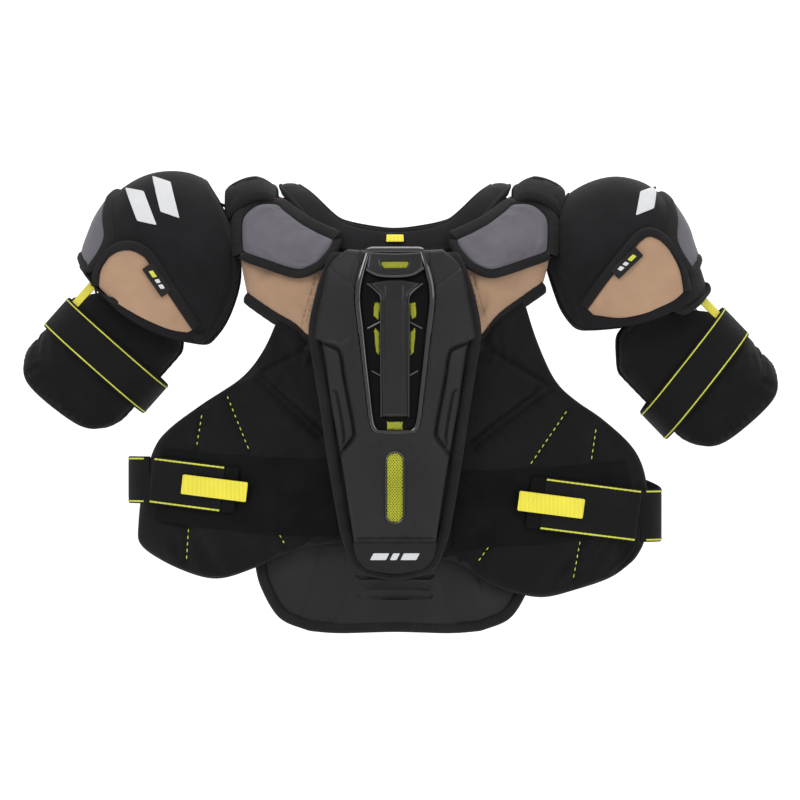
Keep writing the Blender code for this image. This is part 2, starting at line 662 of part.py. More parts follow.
def cap_front_y(setting, s, d, lift):
    half_s, half_y = cap_ring(setting, s, d, -lift)
    ratio = min(1.0, abs(s) / half_s)
    return -half_y * (1 - ratio ** CAP_POWER) ** (1 / CAP_POWER)


def cap_side_s(setting, y, d, lift):
    half_s, half_y = cap_ring(setting, 1, d, -lift)
    ratio = min(1.0, abs(y) / half_y)
    return half_s * (1 - ratio ** CAP_POWER) ** (1 / CAP_POWER)


PANEL_LIFT, PANEL_T = 0.0030, 0.0016


def cap_panels(side, setting):
    """The tan panel low on the front, its tag, and the grey panel on the outer side."""
    def on_front(lift):
        return lambda s, d: cap_place(setting, s, cap_front_y(setting, s, d, lift), d)

    def on_side(lift):
        return lambda y, d: cap_place(setting, cap_side_s(setting, y, d, lift), y, d)

    hinge = cap_hinge(setting["sign"])
    panel = TAN_PANEL[side]
    inner = [panel["top"][0], panel["low"][0]]
    rows = patch_grid(panel["top"], panel["low"], inner, panel["outer"], 6, 4)
    bm = grid_surface(rows, on_front(PANEL_LIFT))
    obj = add_object(f"cap_front_panel_{side}", bm, "tan_fabric", hinge)
    solidify(obj, PANEL_T)
    rows = patch_grid([(-0.020, -0.046), (0.025, -0.046)], [(-0.070, 0.036), (0.066, 0.036)],
                      [(-0.020, -0.046), (-0.079, 0.000), (-0.070, 0.036)],
                      [(0.025, -0.046), (0.068, 0.000), (0.066, 0.036)], 6, 4)
    bm = grid_surface(rows, on_side(PANEL_LIFT))
    obj = add_object(f"cap_side_panel_{side}", bm, "grey_fabric", hinge)
    solidify(obj, PANEL_T)
    place, direction = setting["tag"]
    middle, run = Vector(place), Vector(direction)
    rise = Vector((-run.y, run.x))
    rows = []
    for j in (-1, 1):
        rows.append([middle + run * 0.0185 * i + rise * 0.0065 * j for i in (-1, 0, 1)])
    bm = grid_surface(rows, on_front(PANEL_LIFT + 0.0034))
    obj = add_object(f"cap_tag_{side}", bm, "label", hinge)
    solidify(obj, 0.0010)


def shoulder_caps():
    for side, setting in SIDES.items():
        cap_dome(f"cap_cover_{side}", setting, 0.0, COVER_T, 18, 12, "black_fabric", 0.0)
        cap_dome(f"cap_shell_{side}", setting, COVER_T + 0.0030, SHELL_T, 14, 10, "hard_plastic", 0.006)
        cap_panels(side, setting)


# ---------------------------------------------------------------- upper arm guards
def guard_place(setting, s, y, d):
    """s is outwards of the guard's centre line, d is down the arm from the pivot."""
    outward, down = arm_axes(setting["sign"], setting["tilt"])
    x, z = setting["pivot"]
    pivot = Vector((setting["sign"] * x, 0.0, z))
    return pivot + outward * (s - GUARD_INSET) + down * d + Vector((0, y, 0))


def guard_section(angle, lift):
    across, deep = super_direction(angle, GUARD_POWER)
    return (GUARD_RS + lift) * across, (GUARD_RY + lift) * deep


def guard_top(s):
    """The guard's upper edge is highest under the cap, and lower at its outer and inner sides."""
    under_cap = 0.063 * sin(pi / 2 * min(1.0, (GUARD_RS - s) / 0.075))
    return 0.012 - under_cap + 1.15 * max(0.0, -0.029 - s)


def guard_sheet(name, setting, lift, thickness, inset, top_inset, half_open, mat):
    """The C-shaped wall round the arm, open towards the ribs."""
    around, down = 14, 4
    rows = []
    for j in range(down + 1):
        row = []
        for i in range(around + 1):
            angle = -pi / 2 + half_open + (2 * pi - 2 * half_open) * i / around
            s, y = guard_section(angle, lift)
            start = guard_top(s) + top_inset
            inner_corner = 0.045 * abs(2 * i / around - 1) ** 6
            outer_corner = 0.026 * max(0.0, s / GUARD_RS) ** 6
            end = GUARD_LENGTH - inset - inner_corner - outer_corner
            row.append((s, y, start + (end - start) * j / down))
        rows.append(row)
    bm = grid_surface(rows, lambda s, y, d: guard_place(setting, s, y, d))
    origin = guard_place(setting, GUARD_INSET, 0, 0)
    obj = add_object(name, bm, mat, origin)
    solidify(obj, thickness)
    return obj


ARM_STRAP_D = 0.036
ARM_TAB_FROM, ARM_TAB_TO = radians(8), radians(-42)    # the tab lies on the back of the arm


def arm_strap_point(setting, angle, lift, along_arm):
    s, y = guard_section(angle, lift)
    return guard_place(setting, s, y, along_arm + setting["skew"] * s)


def arm_strap_lift():
    return GUARD_T / 2 + 0.0022 + ARM_STRAP_T / 2


def arm_tab_hinge(setting):
    lift = arm_strap_lift() + ARM_STRAP_T + 0.0022
    return arm_strap_point(setting, ARM_TAB_FROM, lift, ARM_STRAP_D)


def arm_guards():
    for side, setting in SIDES.items():
        guard_sheet(f"arm_guard_{side}", setting, 0.0, GUARD_T, 0.0, 0.0, radians(34), "black_fabric")
        guard_sheet(f"arm_plate_{side}", setting, -0.0078, GUARD_PLATE_T, 0.012, 0.028, radians(50),
                    "hard_plastic")
        origin = guard_place(setting, GUARD_INSET, 0, 0)
        bm = bmesh.new()
        bmesh.ops.create_cone(bm, cap_ends=False, segments=22, radius1=1, radius2=1, depth=1)
        for vert in bm.verts:
            angle = Vector((vert.co.y, vert.co.x)).angle_signed(Vector((1, 0)), 0.0)
            level = ARM_STRAP_D + ARM_STRAP_W * vert.co.z
            vert.co = arm_strap_point(setting, angle, arm_strap_lift(), level)
        bmesh.ops.recalc_face_normals(bm, faces=bm.faces)
        obj = add_object(f"arm_strap_{side}", bm, "elastic", origin)
        solidify(obj, ARM_STRAP_T)
        lift = arm_strap_lift() + ARM_STRAP_T + 0.0022
        rows = []
        for j in (-0.5, 0.5):
            rows.append([(ARM_TAB_FROM + (ARM_TAB_TO - ARM_TAB_FROM) * i / 3,
                          ARM_STRAP_D + ARM_STRAP_W * 0.9 * j) for i in range(4)])
        bm = grid_surface(rows, lambda a, d: arm_strap_point(setting, a, lift, d))
        obj = add_object(f"arm_strap_tab_{side}", bm, "yellow_webbing", arm_tab_hinge(setting))
        solidify(obj, 0.0020)


def length_tabs():
    """The yellow webbing that lets the guard down from the cap, inside the cap's outer wall."""
    for side, setting in SIDES.items():
        sign = setting["sign"]
        outward, down = arm_axes(sign, CAP_TILT)
        centre = cap_place(setting, 0, 0, 0)
        x, z = setting["pivot"]
        pivot = Vector((sign * x, 0.0, z))
        pivot_s = (pivot - centre).dot(outward)
        pivot_d = (pivot - centre).dot(down)
        inside = setting["half_out"] - COVER_T - 0.0030 - SHELL_T - 0.0090
        turn = setting["tilt"] - CAP_TILT
        rows = []
        for y in (-0.034, -0.012):
            rows.append([(inside, y, 0.010), (inside, y, 0.050), (pivot_s - 0.008, y, pivot_d),
                         (pivot_s - 0.008 + 0.011 * sin(turn), y, pivot_d + 0.011 * cos(turn))])
        bm = grid_surface(rows, lambda s, y, d: cap_place(setting, s, y, d))
        obj = add_object(f"length_tab_{side}", bm, "yellow_webbing", pivot)
        solidify(obj, 0.0018)


def main():
    clear_scene()
    for name in (COLLECTION, "cutters"):
        collection = bpy.data.collections.get(name) or bpy.data.collections.new(name)
        if collection.name not in bpy.context.scene.collection.children:
            bpy.context.scene.collection.children.link(collection)
    chest_panels()
    loop_bands()
    yokes()
    collar("collar_front", chest_point, -0.045, -0.026)
    collar("collar_back", back_point, -0.040, -0.019)
    collar_tag()
    sternum_carrier()
    sternum_plate()
    sternum_insert()
    belly_pad()
    clavicle_pads()
    front_straps()
    back_panels()
    spine_guard()
    kidney_pad()
    arch_pads()
    rear_straps()
    shoulder_caps()
    arm_guards()
    length_tabs()


main()
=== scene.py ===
"""Ice hockey shoulder pads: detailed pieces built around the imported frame.

Metres, +Z up, the chest faces -Y and the wearer's left is +X. "right" and "left" are the wearer's.
"""

import bpy
import bmesh
import numpy as np
from math import pi, radians, sin, cos
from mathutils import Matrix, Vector


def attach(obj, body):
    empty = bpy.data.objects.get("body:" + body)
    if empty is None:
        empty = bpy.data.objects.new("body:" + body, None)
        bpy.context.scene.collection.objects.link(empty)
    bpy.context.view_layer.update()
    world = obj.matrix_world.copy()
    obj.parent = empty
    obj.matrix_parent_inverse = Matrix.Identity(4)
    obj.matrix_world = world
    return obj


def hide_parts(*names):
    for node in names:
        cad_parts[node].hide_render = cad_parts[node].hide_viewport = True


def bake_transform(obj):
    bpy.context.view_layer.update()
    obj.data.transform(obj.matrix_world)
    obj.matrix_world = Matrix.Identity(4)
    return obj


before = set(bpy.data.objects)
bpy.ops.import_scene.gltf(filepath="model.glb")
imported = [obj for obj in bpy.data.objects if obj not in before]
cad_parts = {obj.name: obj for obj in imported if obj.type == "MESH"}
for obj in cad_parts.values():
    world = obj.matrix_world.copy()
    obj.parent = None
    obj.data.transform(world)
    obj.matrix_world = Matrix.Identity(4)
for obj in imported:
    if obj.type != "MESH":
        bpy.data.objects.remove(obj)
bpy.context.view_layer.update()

# ---------------------------------------------------------------- form, as in the CAD
CHEST_Y, BACK_Y = -0.120, 0.105
CURVE_LOW, CURVE_HIGH, CURVE_BACK = 1.39, 2.20, 1.60
BLEND_LOW, BLEND_HIGH = -0.20, -0.09
DOME_Z, SHOULDER_Z = -0.09, 0.010
WING_LIFT, WING_T = 0.006, 0.012
YOKE_LIFT, YOKE_T = 0.007, 0.012
BAND_LIFT, BAND_T = 0.0150, 0.0020
STRAP_LIFT, STRAP_T = 0.0188, 0.0026
PULL_LIFT, PULL_T = 0.0228, 0.0024
CLAVICLE_LIFT, CLAVICLE_T = 0.0205, 0.0100
CARRIER_LIFT, CARRIER_T = 0.0270, 0.0080
PLATE_LIFT, PLATE_T = 0.0395, 0.0140
BELLY_LIFT, BELLY_T = -0.0085, 0.0110
ARCH_LIFT, ARCH_T = 0.0235, 0.0080
COLLAR_LIFT = 0.0065
CAP_Z, CAP_TILT, CAP_RY, CAP_POWER, COVER_T = -0.043, radians(19), 0.095, 2.6, 0.007
GUARD_RS, GUARD_RY, GUARD_T = 0.062, 0.064, 0.009
GUARD_LENGTH, GUARD_POWER, GUARD_INSET = 0.117, 2.5, 0.052
ARM_STRAP_D, ARM_STRAP_W, ARM_STRAP_T = 0.036, 0.040, 0.0024
ARCH_RADIUS, ARCH_HALF = 0.1235, 0.0245
ARCH_REAR = radians(42)
NUDGE = 0.001                           # a short step along a form, to find its directions
# Each side: the sign of X, the guard's pivot (x, z) and tilt, the skew of its strap, the cap's
# centre in x, outer and inner half width and crown height, its hem (lowest point d, at s, and curvature)
# and its neck-side edge (furthest reach, upper bend, lower bend, curvature).
SIDES = {
    "right": dict(sign=-1, pivot=(0.3233, -0.0853), tilt=radians(41.5), skew=0.0, cap_x=0.2455,
                  half_out=0.083, half_in=0.094, crown=0.0945, hem=(0.0800, -0.030, 3.2),
                  neck=(-0.0850, 0.012, 0.030, 6.2)),
    "left": dict(sign=1, pivot=(0.3319, -0.1037), tilt=radians(44.0), skew=-0.14, cap_x=0.2405,
                 half_out=0.0765, half_in=0.088, crown=0.0880, hem=(0.0740, 0.012, 2.4),
                 neck=(-0.0780, -0.007, 0.022, 7.6)),
}


def smooth(value, low, high):
    """Eases from 0 at low to 1 at high."""
    t = np.clip((value - low) / (high - low), 0, 1)
    return t * t * (3 - 2 * t)


def unroll(z, lift):
    """Height above the dome line as a length along the bend over the shoulder."""
    radius = SHOULDER_Z + lift - DOME_Z
    bent = DOME_Z + np.arcsin(np.clip((z - DOME_Z) / radius, 0, 1)) * radius
    return np.where(z <= DOME_Z, z, bent)


def roll(y, q, lift):
    """Bends a surface over the shoulder: y and z at a length q along the bend."""
    radius = SHOULDER_Z + lift - DOME_Z
    angle = np.clip((q - DOME_Z) / radius, 0, pi)
    return y * np.cos(angle), np.where(q <= DOME_Z, q, DOME_Z + radius * np.sin(angle))


def front_y(x, q, lift):
    curve = CURVE_LOW + (CURVE_HIGH - CURVE_LOW) * smooth(q, BLEND_LOW, BLEND_HIGH)
    return CHEST_Y + curve * x * x - lift * np.sqrt(1 + (2 * curve * x) ** 2)


def rear_y(x, lift):
    return BACK_Y - CURVE_BACK * x * x + lift * np.sqrt(1 + (2 * CURVE_BACK * x) ** 2)


def chest(x, q, lift):
    y, z = roll(front_y(x, q, lift), q, lift)
    return np.stack([x + 0 * z, y, z], -1)


def back(x, q, lift):
    y, z = roll(rear_y(x, lift), q, lift)
    return np.stack([x + 0 * z, y, z], -1)


def over(x, w, lift):
    """Both halves at once: w is the length along the bend from the top, minus to the front."""
    q = DOME_Z + (SHOULDER_Z + lift - DOME_Z) * pi / 2 - np.abs(w)
    return np.where((w < 0)[..., None], chest(x, q, lift), back(x, q, lift))


def from_top(z, lift):
    """A height as a length along the bend, from the top of the shoulder."""
    return (SHOULDER_Z + lift - DOME_Z) * pi / 2 - (float(unroll(z, lift)) - DOME_Z)


def squared(c, s, power):
    """How far out a rounded square's edge lies in a direction, where a circle's lies at 1."""
    return (np.abs(c) ** power + np.abs(s) ** power) ** (-1 / power)


def arm_axes(sign, tilt):
    """Unit vectors outwards from the arm and down along it."""
    return (np.array((sign * cos(tilt), 0.0, sin(tilt))), np.array((sign * sin(tilt), 0.0, -cos(tilt))))


def cap_centre(setting):
    return np.array((setting["sign"] * setting["cap_x"], 0.0, CAP_Z))


def cap_place(setting, s, y, d):
    """Points of a cap's frame: s outwards, y to the rear and d down from its centre."""
    outward, down = arm_axes(setting["sign"], CAP_TILT)
    return (cap_centre(setting) + s[..., None] * outward + d[..., None] * down
            + y[..., None] * np.array((0, 1.0, 0)))


def cap_ring(setting, s, d, lift):
    """Half width and half depth of a cap's section at a distance d below its centre."""
    scale = np.sqrt(np.clip(1 - (np.minimum(d, 0) / (setting["crown"] + lift)) ** 2, 0, 1))
    half_s = np.where(s < 0, setting["half_in"], setting["half_out"])
    return (half_s + lift) * scale, (CAP_RY + lift) * scale


def rounded(ratio, power):
    return (1 - np.clip(np.abs(ratio), 0, 1) ** power) ** (1 / power)


def cap_front(setting):
    """The front of a cap: s outwards and d down from its centre."""
    def form(s, d, lift):
        half_s, half_y = cap_ring(setting, s, d, lift)
        return cap_place(setting, s, -half_y * rounded(s / half_s, CAP_POWER), d)
    return form


def cap_side(setting):
    """The outer side of a cap: y to the rear and d down."""
    def form(y, d, lift):
        half_s, half_y = cap_ring(setting, np.ones(y.shape), d, lift)
        return cap_place(setting, half_s * rounded(y / half_y, CAP_POWER), y, d)
    return form


def guard(setting):
    """An arm guard's wall: a is the angle round it times its radius, d is down the arm."""
    outward, down = arm_axes(setting["sign"], setting["tilt"])
    pivot = np.array((setting["sign"] * setting["pivot"][0], 0.0, setting["pivot"][1]))

    def form(a, d, lift):
        angle = a / GUARD_RY
        c, s = np.cos(angle), np.sin(angle)
        size = squared(c, s, GUARD_POWER)
        across, deep = (GUARD_RS + lift) * s * size, (GUARD_RY + lift) * c * size
        return (pivot + (across - GUARD_INSET)[..., None] * outward + d[..., None] * down
                + deep[..., None] * np.array((0, 1.0, 0)))
    return form


# ---------------------------------------------------------------- outlines
def spline(points, t):
    """Points at 0..1 along the smooth curve through the given ones, by chord length."""
    pts = np.asarray(points, float)
    chords = np.linalg.norm(np.diff(pts, axis=0), axis=1)
    ends = np.concatenate(([0], np.cumsum(chords)))
    reach = np.clip(t, 0, 1) * ends[-1]
    i = np.clip(np.searchsorted(ends, reach, side="right") - 1, 0, len(chords) - 1)
    f = ((reach - ends[i]) / chords[i])[:, None]
    p1, p2 = pts[i], pts[i + 1]
    p0 = np.where((i > 0)[:, None], pts[np.maximum(i - 1, 0)], 2 * p1 - p2)
    p3 = np.where((i + 2 < len(pts))[:, None], pts[np.minimum(i + 2, len(pts) - 1)], 2 * p2 - p1)
    m1, m2 = (p2 - p0) / 2, (p3 - p1) / 2
    return (p1 * (2 * f**3 - 3 * f**2 + 1) + m1 * (f**3 - 2 * f**2 + f)
            + p2 * (-2 * f**3 + 3 * f**2) + m2 * (f**3 - f**2))


def length_of(points):
    return float(np.linalg.norm(np.diff(np.asarray(points, float), axis=0), axis=1).sum())


def evenly(points, step, closed=False):
    """The same line with points about a step apart."""
    pts = np.asarray(points, float)
    if closed:
        pts = np.vstack([pts, pts[:1]])
    gaps = np.linalg.norm(np.diff(pts, axis=0), axis=1)
    ends = np.concatenate(([0], np.cumsum(gaps)))
    count = max(2, int(round(ends[-1] / step)))
    at = np.linspace(0, ends[-1], count + 1)[:count if closed else count + 1]
    return np.stack([np.interp(at, ends, pts[:, k]) for k in range(pts.shape[1])], -1)


def soften(loop, times):
    """A closed line with each point drawn towards its two neighbours."""
    for _ in range(times):
        loop = loop * 0.5 + (np.roll(loop, 1, 0) + np.roll(loop, -1, 0)) * 0.25
    return loop


def unit(v):
    return v / np.maximum(np.linalg.norm(v, axis=-1, keepdims=True), 1e-12)


def left_of(run):
    """The directions a quarter turn to the left of the given ones."""
    return np.stack([-run[..., 1], run[..., 0]], -1)


def axes_on(form, line, aside, lift):
    """Places of a line on a form, with unit vectors sideways and outwards at each."""
    level = np.broadcast_to(lift, len(line))
    at = form(line[:, 0], line[:, 1], level)
    beside = line + aside * NUDGE
    side = unit(form(beside[:, 0], beside[:, 1], level) - at)
    up = unit(form(line[:, 0], line[:, 1], level + NUDGE) - at)
    return at, side, up


def mirror(points, sign):
    return [(sign * x, z) for x, z in points]


def whole(points):
    """A symmetrical line, given by its left half from the middle outwards."""
    return mirror([p for p in points[::-1] if p[0]], -1) + list(points)


def border_of(grid):
    """The closed line round a grid: along row 0, down, back and up."""
    return np.vstack([grid[0, :-1], grid[:-1, -1], grid[-1, :0:-1], grid[:0:-1, 0]])


def between(top, low):
    """The four sides of an outline whose ends are straight."""
    return [top, low, [top[0], low[0]], [top[-1], low[-1]]]


def both_ways(top, low, edge, lift=None):
    """The four sides of an outline whose right edge mirrors its left one, unrolled if lifted."""
    sides = [top, low, mirror(edge, -1), edge]
    return sides if lift is None else [unrolled(line, lift) for line in sides]


def round_corners(grid, times):
    """Softens a grid's border in place, which rounds its corners."""
    loop = soften(border_of(grid), times)
    a, b = grid.shape[1] - 1, grid.shape[0] - 1
    grid[0, :-1], grid[:-1, -1] = loop[:a], loop[a:a + b]
    grid[-1, :0:-1], grid[:0:-1, 0] = loop[a + b:2 * a + b], loop[2 * a + b:]


def patch(sides, cell, rounding=6):
    """A grid that fills four curves (top, bottom, inner, outer), with its corners rounded off."""
    top, bottom, inner, outer = sides
    across = max(4, int(round(max(length_of(top), length_of(bottom)) / cell)))
    down = max(3, int(round(max(length_of(inner), length_of(outer)) / cell)))
    u, v = np.linspace(0, 1, across + 1), np.linspace(0, 1, down + 1)
    up, low, left, right = spline(top, u), spline(bottom, u), spline(inner, v), spline(outer, v)
    if rounding:
        loop = soften(np.vstack([up[:-1], right[:-1], low[:0:-1], left[:0:-1]]), rounding)
        loop = np.vstack([loop, loop[:1]])
        a, b, c = across, across + down, 2 * across + down
        up, right, low, left = loop[:a + 1], loop[a:b + 1], loop[b:c + 1][::-1], loop[c:][::-1]
    u, v = u[None, :, None], v[:, None, None]
    ruled = left[:, None] * (1 - u) + right[:, None] * u + up[None] * (1 - v) + low[None] * v
    corners = (up[0] * (1 - u) * (1 - v) + up[-1] * u * (1 - v)
               + low[0] * (1 - u) * v + low[-1] * u * v)
    return ruled - corners


def near(points, line, closed=False):
    """Distance from each point to a line of points."""
    line = np.asarray(line, float)
    if closed:
        line = np.vstack([line, line[:1]])
    flat = points.reshape(-1, 2)
    best = np.full(len(flat), 1e9)
    for a, b in zip(line[:-1], line[1:]):
        run = b - a
        size = max(float(run @ run), 1e-12)
        t = np.clip(((flat - a) @ run) / size, 0, 1)
        gap = flat - a - t[:, None] * run
        best = np.minimum(best, (gap * gap).sum(1))
    return np.sqrt(best).reshape(points.shape[:-1])


def inside(points, loop):
    """Whether each point lies inside a closed line."""
    x, y = points[..., 0], points[..., 1]
    found = np.zeros(x.shape, bool)
    loop = np.asarray(loop, float)
    for (ax, ay), (bx, by) in zip(loop, np.roll(loop, -1, 0)):
        if ay == by:
            continue
        crosses = ((ay > y) != (by > y)) & (x < (bx - ax) * (y - ay) / (by - ay) + ax)
        found ^= crosses
    return found


def outside_of(loop):
    """A test for net(): below zero inside the closed line."""
    return lambda x, z: np.where(inside(np.stack([x, z], -1), loop), -1.0, 1.0)


def bump(distance, width):
    return np.exp(-(distance / width) ** 2)


def ripple(points, scale, seed):
    """Smooth random unevenness from -1 to 1, the same at each run."""
    draw = np.random.default_rng(seed)
    total = np.zeros(points.shape[:-1])
    for _ in range(9):
        angle, phase = draw.uniform(0, 2 * pi, 2)
        pitch = scale * draw.uniform(0.6, 1.6)
        along = points[..., 0] * cos(angle) + points[..., 1] * sin(angle)
        total += np.sin(2 * pi * along / pitch + phase)
    return total / 5


# ---------------------------------------------------------------- meshes
def make(name, verts, faces, mat, body=None, slot=None, stands_for=(), uv=None, smooth_angle=50):
    """One mesh piece in the frame's coordinates, with its plane coordinates in a UV layer."""
    mesh = bpy.data.meshes.new(name)
    mesh.from_pydata(np.asarray(verts, float).tolist(), [], [list(map(int, f)) for f in faces])
    mesh.validate()
    if uv is not None:
        layer = mesh.uv_layers.new(name="cloth")
        loops = np.empty(len(mesh.loops), int)
        mesh.loops.foreach_get("vertex_index", loops)
        layer.data.foreach_set("uv", np.asarray(uv, np.float32)[loops].ravel())
    mesh.materials.append(mat)
    mesh.shade_smooth()
    if smooth_angle:
        mesh.set_sharp_from_angle(angle=radians(smooth_angle))
    obj = bpy.data.objects.new(name, mesh)
    bpy.context.scene.collection.objects.link(obj)
    if body is not None:
        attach(obj, body)
    if stands_for:
        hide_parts(*stands_for)
    return obj


def quads(rows, columns, wrap=False):
    """Faces of a grid of rows and columns; wrap joins the last column to the first."""
    r, c = np.meshgrid(np.arange(rows - 1), np.arange(columns if wrap else columns - 1), indexing="ij")
    n = (c + 1) % columns
    return np.stack([r * columns + c, r * columns + n, (r + 1) * columns + n, (r + 1) * columns + c],
                    -1).reshape(-1, 4)


def closed_pair(outer, inner):
    """Vertices and faces of the closed body between two grids of the same size, outer face out."""
    rows, columns = outer.shape[:2]
    count = rows * columns
    faces = quads(rows, columns)
    index = np.arange(count).reshape(rows, columns)
    rim = border_of(index[..., None])[:, 0]
    nxt = np.roll(rim, -1)
    sides = np.stack([nxt, rim, rim + count, nxt + count], -1)
    faces = np.vstack([faces, faces[:, ::-1] + count, sides])
    verts = np.vstack([outer.reshape(-1, 3), inner.reshape(-1, 3)])
    middle = np.array([outer[rows // 2, columns // 2], inner[rows // 2, columns // 2]])
    f = faces[(rows // 2) * (columns - 1) + columns // 2]
    normal = np.cross(verts[f[1]] - verts[f[0]], verts[f[3]] - verts[f[0]])
    if normal @ (middle[0] - middle[1]) < 0:
        faces = faces[:, ::-1]
    return verts, faces


def rim_profile(distance, reach, edge):
    """A pad's share of its full thickness at a distance from its border."""
    t = np.clip(distance / reach, 0, 1)
    return edge + (1 - edge) * np.sqrt(1 - (1 - t) ** 2)


SIM_FRAMES, SIM_CELL, FOAM_PRESSURE = 20, 0.0055, 4.0


def swell(grid, form, lift, thickness, pinned, cap, slack):
    """How far a fabric face puffs out under foam pressure, by a cloth simulation on a coarse copy.

    The inner face, the border and the sewn lines are pinned. The result is read back at the
    fine grid's points, at most cap high.
    """
    rows, columns = grid.shape[:2]
    edge = near(grid, border_of(grid), closed=True)
    cell = max(1e-6, np.linalg.norm(grid[rows // 2, 1] - grid[rows // 2, 0]))
    step = max(1, int(round(SIM_CELL / cell)))
    pick_r = np.unique(np.append(np.arange(0, rows, step), rows - 1))
    pick_c = np.unique(np.append(np.arange(0, columns, step), columns - 1))
    coarse = grid[np.ix_(pick_r, pick_c)]
    half = thickness / 2 * rim_profile(edge[np.ix_(pick_r, pick_c)], 0.01, 0.3)
    x, q = coarse[..., 0], coarse[..., 1]
    outer, inner = form(x, q, lift + half), form(x, q, lift - half)
    verts, faces = closed_pair(outer, inner)
    mesh = bpy.data.meshes.new("cloth_trial")
    mesh.from_pydata(verts.tolist(), [], faces.tolist())
    obj = bpy.data.objects.new("cloth_trial", mesh)
    bpy.context.scene.collection.objects.link(obj)
    hold = np.ones(len(verts))
    count = coarse.shape[0] * coarse.shape[1]
    near_pin = pinned[np.ix_(pick_r, pick_c)]
    hold[:count] = np.maximum(bump(near_pin, 0.0035), bump(edge[np.ix_(pick_r, pick_c)], 0.003)).ravel()
    group = obj.vertex_groups.new(name="pins")
    for index, weight in enumerate(hold):
        group.add([index], float(weight), "REPLACE")
    cloth = obj.modifiers.new("cloth", "CLOTH")
    settings = cloth.settings
    settings.quality = 5
    settings.mass = 0.15
    settings.tension_stiffness = settings.compression_stiffness = 12
    settings.shear_stiffness = 8
    settings.bending_stiffness = 0.3
    settings.use_pressure = True
    settings.uniform_pressure_force = FOAM_PRESSURE
    settings.shrink_min = -slack
    settings.effector_weights.gravity = 0
    settings.vertex_group_mass = "pins"
    cloth.point_cache.frame_start, cloth.point_cache.frame_end = 1, SIM_FRAMES
    scene = bpy.context.scene
    for number in range(1, SIM_FRAMES + 1):
        scene.frame_set(number)
    done = obj.evaluated_get(bpy.context.evaluated_depsgraph_get()).data
    moved = np.empty(len(verts) * 3)
    done.vertices.foreach_get("co", moved)
    moved = moved.reshape(-1, 3)[:count]
    normal = outer - inner
    normal /= np.maximum(np.linalg.norm(normal, axis=-1, keepdims=True), 1e-9)
    rise = ((moved - verts[:count]) * normal.reshape(-1, 3)).sum(1)
    rise = np.nan_to_num(rise.reshape(coarse.shape[:2]))
    rise = np.sign(rise) * cap * np.tanh(np.abs(rise) / cap)
    bpy.data.objects.remove(obj, do_unlink=True)
    bpy.data.meshes.remove(mesh)
    scene.frame_set(1)
    wide = np.stack([np.interp(np.arange(columns), pick_c, line) for line in rise])
    return np.stack([np.interp(np.arange(rows), pick_r, wide[:, k]) for k in range(columns)], -1)


def sewn(lines, width=0.0022, depth=0.0022, step=0.01):
    """Sewn lines as a pad takes them: points, the width of the dip along them and its depth."""
    return [(evenly(line, step), width, depth) for line in lines]


SURFACES = {}                           # each pad's plane points and its outer face's lift there


def pad(name, form, grid, lift, thickness, mat, body=None, slot=None, stands_for=(), rim=(0.007, 0.4),
        seams=(), puff=0.0, slack=0.03, extra=None, uneven=0.0004, seed=1, back_seams=0.3):
    """A pad of fabric over foam: puffed between its sewn lines, thin at its bound edge."""
    edge = near(grid, border_of(grid), closed=True)
    half = thickness / 2 * rim_profile(edge, *rim)
    dip = np.zeros(edge.shape)
    pinned = np.full(edge.shape, 1.0)
    for line, width, depth in seams:
        away = near(grid, line)
        dip = np.maximum(dip, depth * bump(away, width))
        if depth > 0:
            pinned = np.minimum(pinned, away)
    rise = swell(grid, form, lift, thickness, pinned, puff, slack) if puff else 0.0
    shape = ripple(grid, 0.045, seed) * uneven * np.clip(edge / 0.012, 0, 1)
    if extra is not None:
        shape = shape + extra(grid)
    face = lift + half + rise - dip + shape
    x, q = grid[..., 0], grid[..., 1]
    verts, faces = closed_pair(form(x, q, face), form(x, q, lift - half + dip * back_seams))
    uv = np.vstack([grid.reshape(-1, 2)] * 2)
    SURFACES[name] = (grid.reshape(-1, 2), face.ravel())
    obj = make(name, verts, faces, mat, body, slot, stands_for, uv)
    return obj


def face_lift(name, points):
    """The lift of a pad's outer face at points of its plane."""
    flat, lifts = SURFACES[name]
    points = np.asarray(points, float)
    found = np.empty(len(points))
    for i, p in enumerate(points):
        gap = ((flat - p) ** 2).sum(1)
        best = np.argpartition(gap, 4)[:4]
        weight = 1 / (gap[best] + 1e-9)
        found[i] = (lifts[best] * weight).sum() / weight.sum()
    return found


def sweep(name, points, side, up, half_w, half_h, mat, power=3.0, closed=True, sections=12, **how):
    """A tube of rounded flat section along points; side and up are unit vectors at each."""
    count = len(points)
    a = np.linspace(0, 2 * pi, sections, endpoint=False)
    c, s = np.cos(a), np.sin(a)
    size = squared(c, s, power)
    half_w, half_h = np.broadcast_to(half_w, count), np.broadcast_to(half_h, count)
    verts = (points[:, None] + (c * size)[None, :, None] * (half_w[:, None] * side)[:, None]
             + (s * size)[None, :, None] * (half_h[:, None] * up)[:, None])
    faces = list(quads(count, sections, wrap=True))
    first, last = np.arange(sections), (count - 1) * sections + np.arange(sections)
    if closed:
        faces += list(np.stack([last, np.roll(last, -1), np.roll(first, -1), first], -1))
    else:
        faces += [first[::-1], last]
    forward = points[1] - points[0]
    if np.cross(side[0], up[0]) @ forward > 0:
        faces = [f[::-1] for f in faces]
    gaps = np.linalg.norm(np.diff(np.vstack([points, points[:1]]), axis=0), axis=1)
    along = np.concatenate(([0], np.cumsum(gaps)))[:count]
    width = np.cumsum(np.full(sections, 2 * pi * float(np.mean(half_w)) / sections))
    uv = np.stack(np.broadcast_arrays(along[:, None], width[None]), -1).reshape(-1, 2)
    return make(name, verts.reshape(-1, 3), faces, mat, uv=uv, **how)


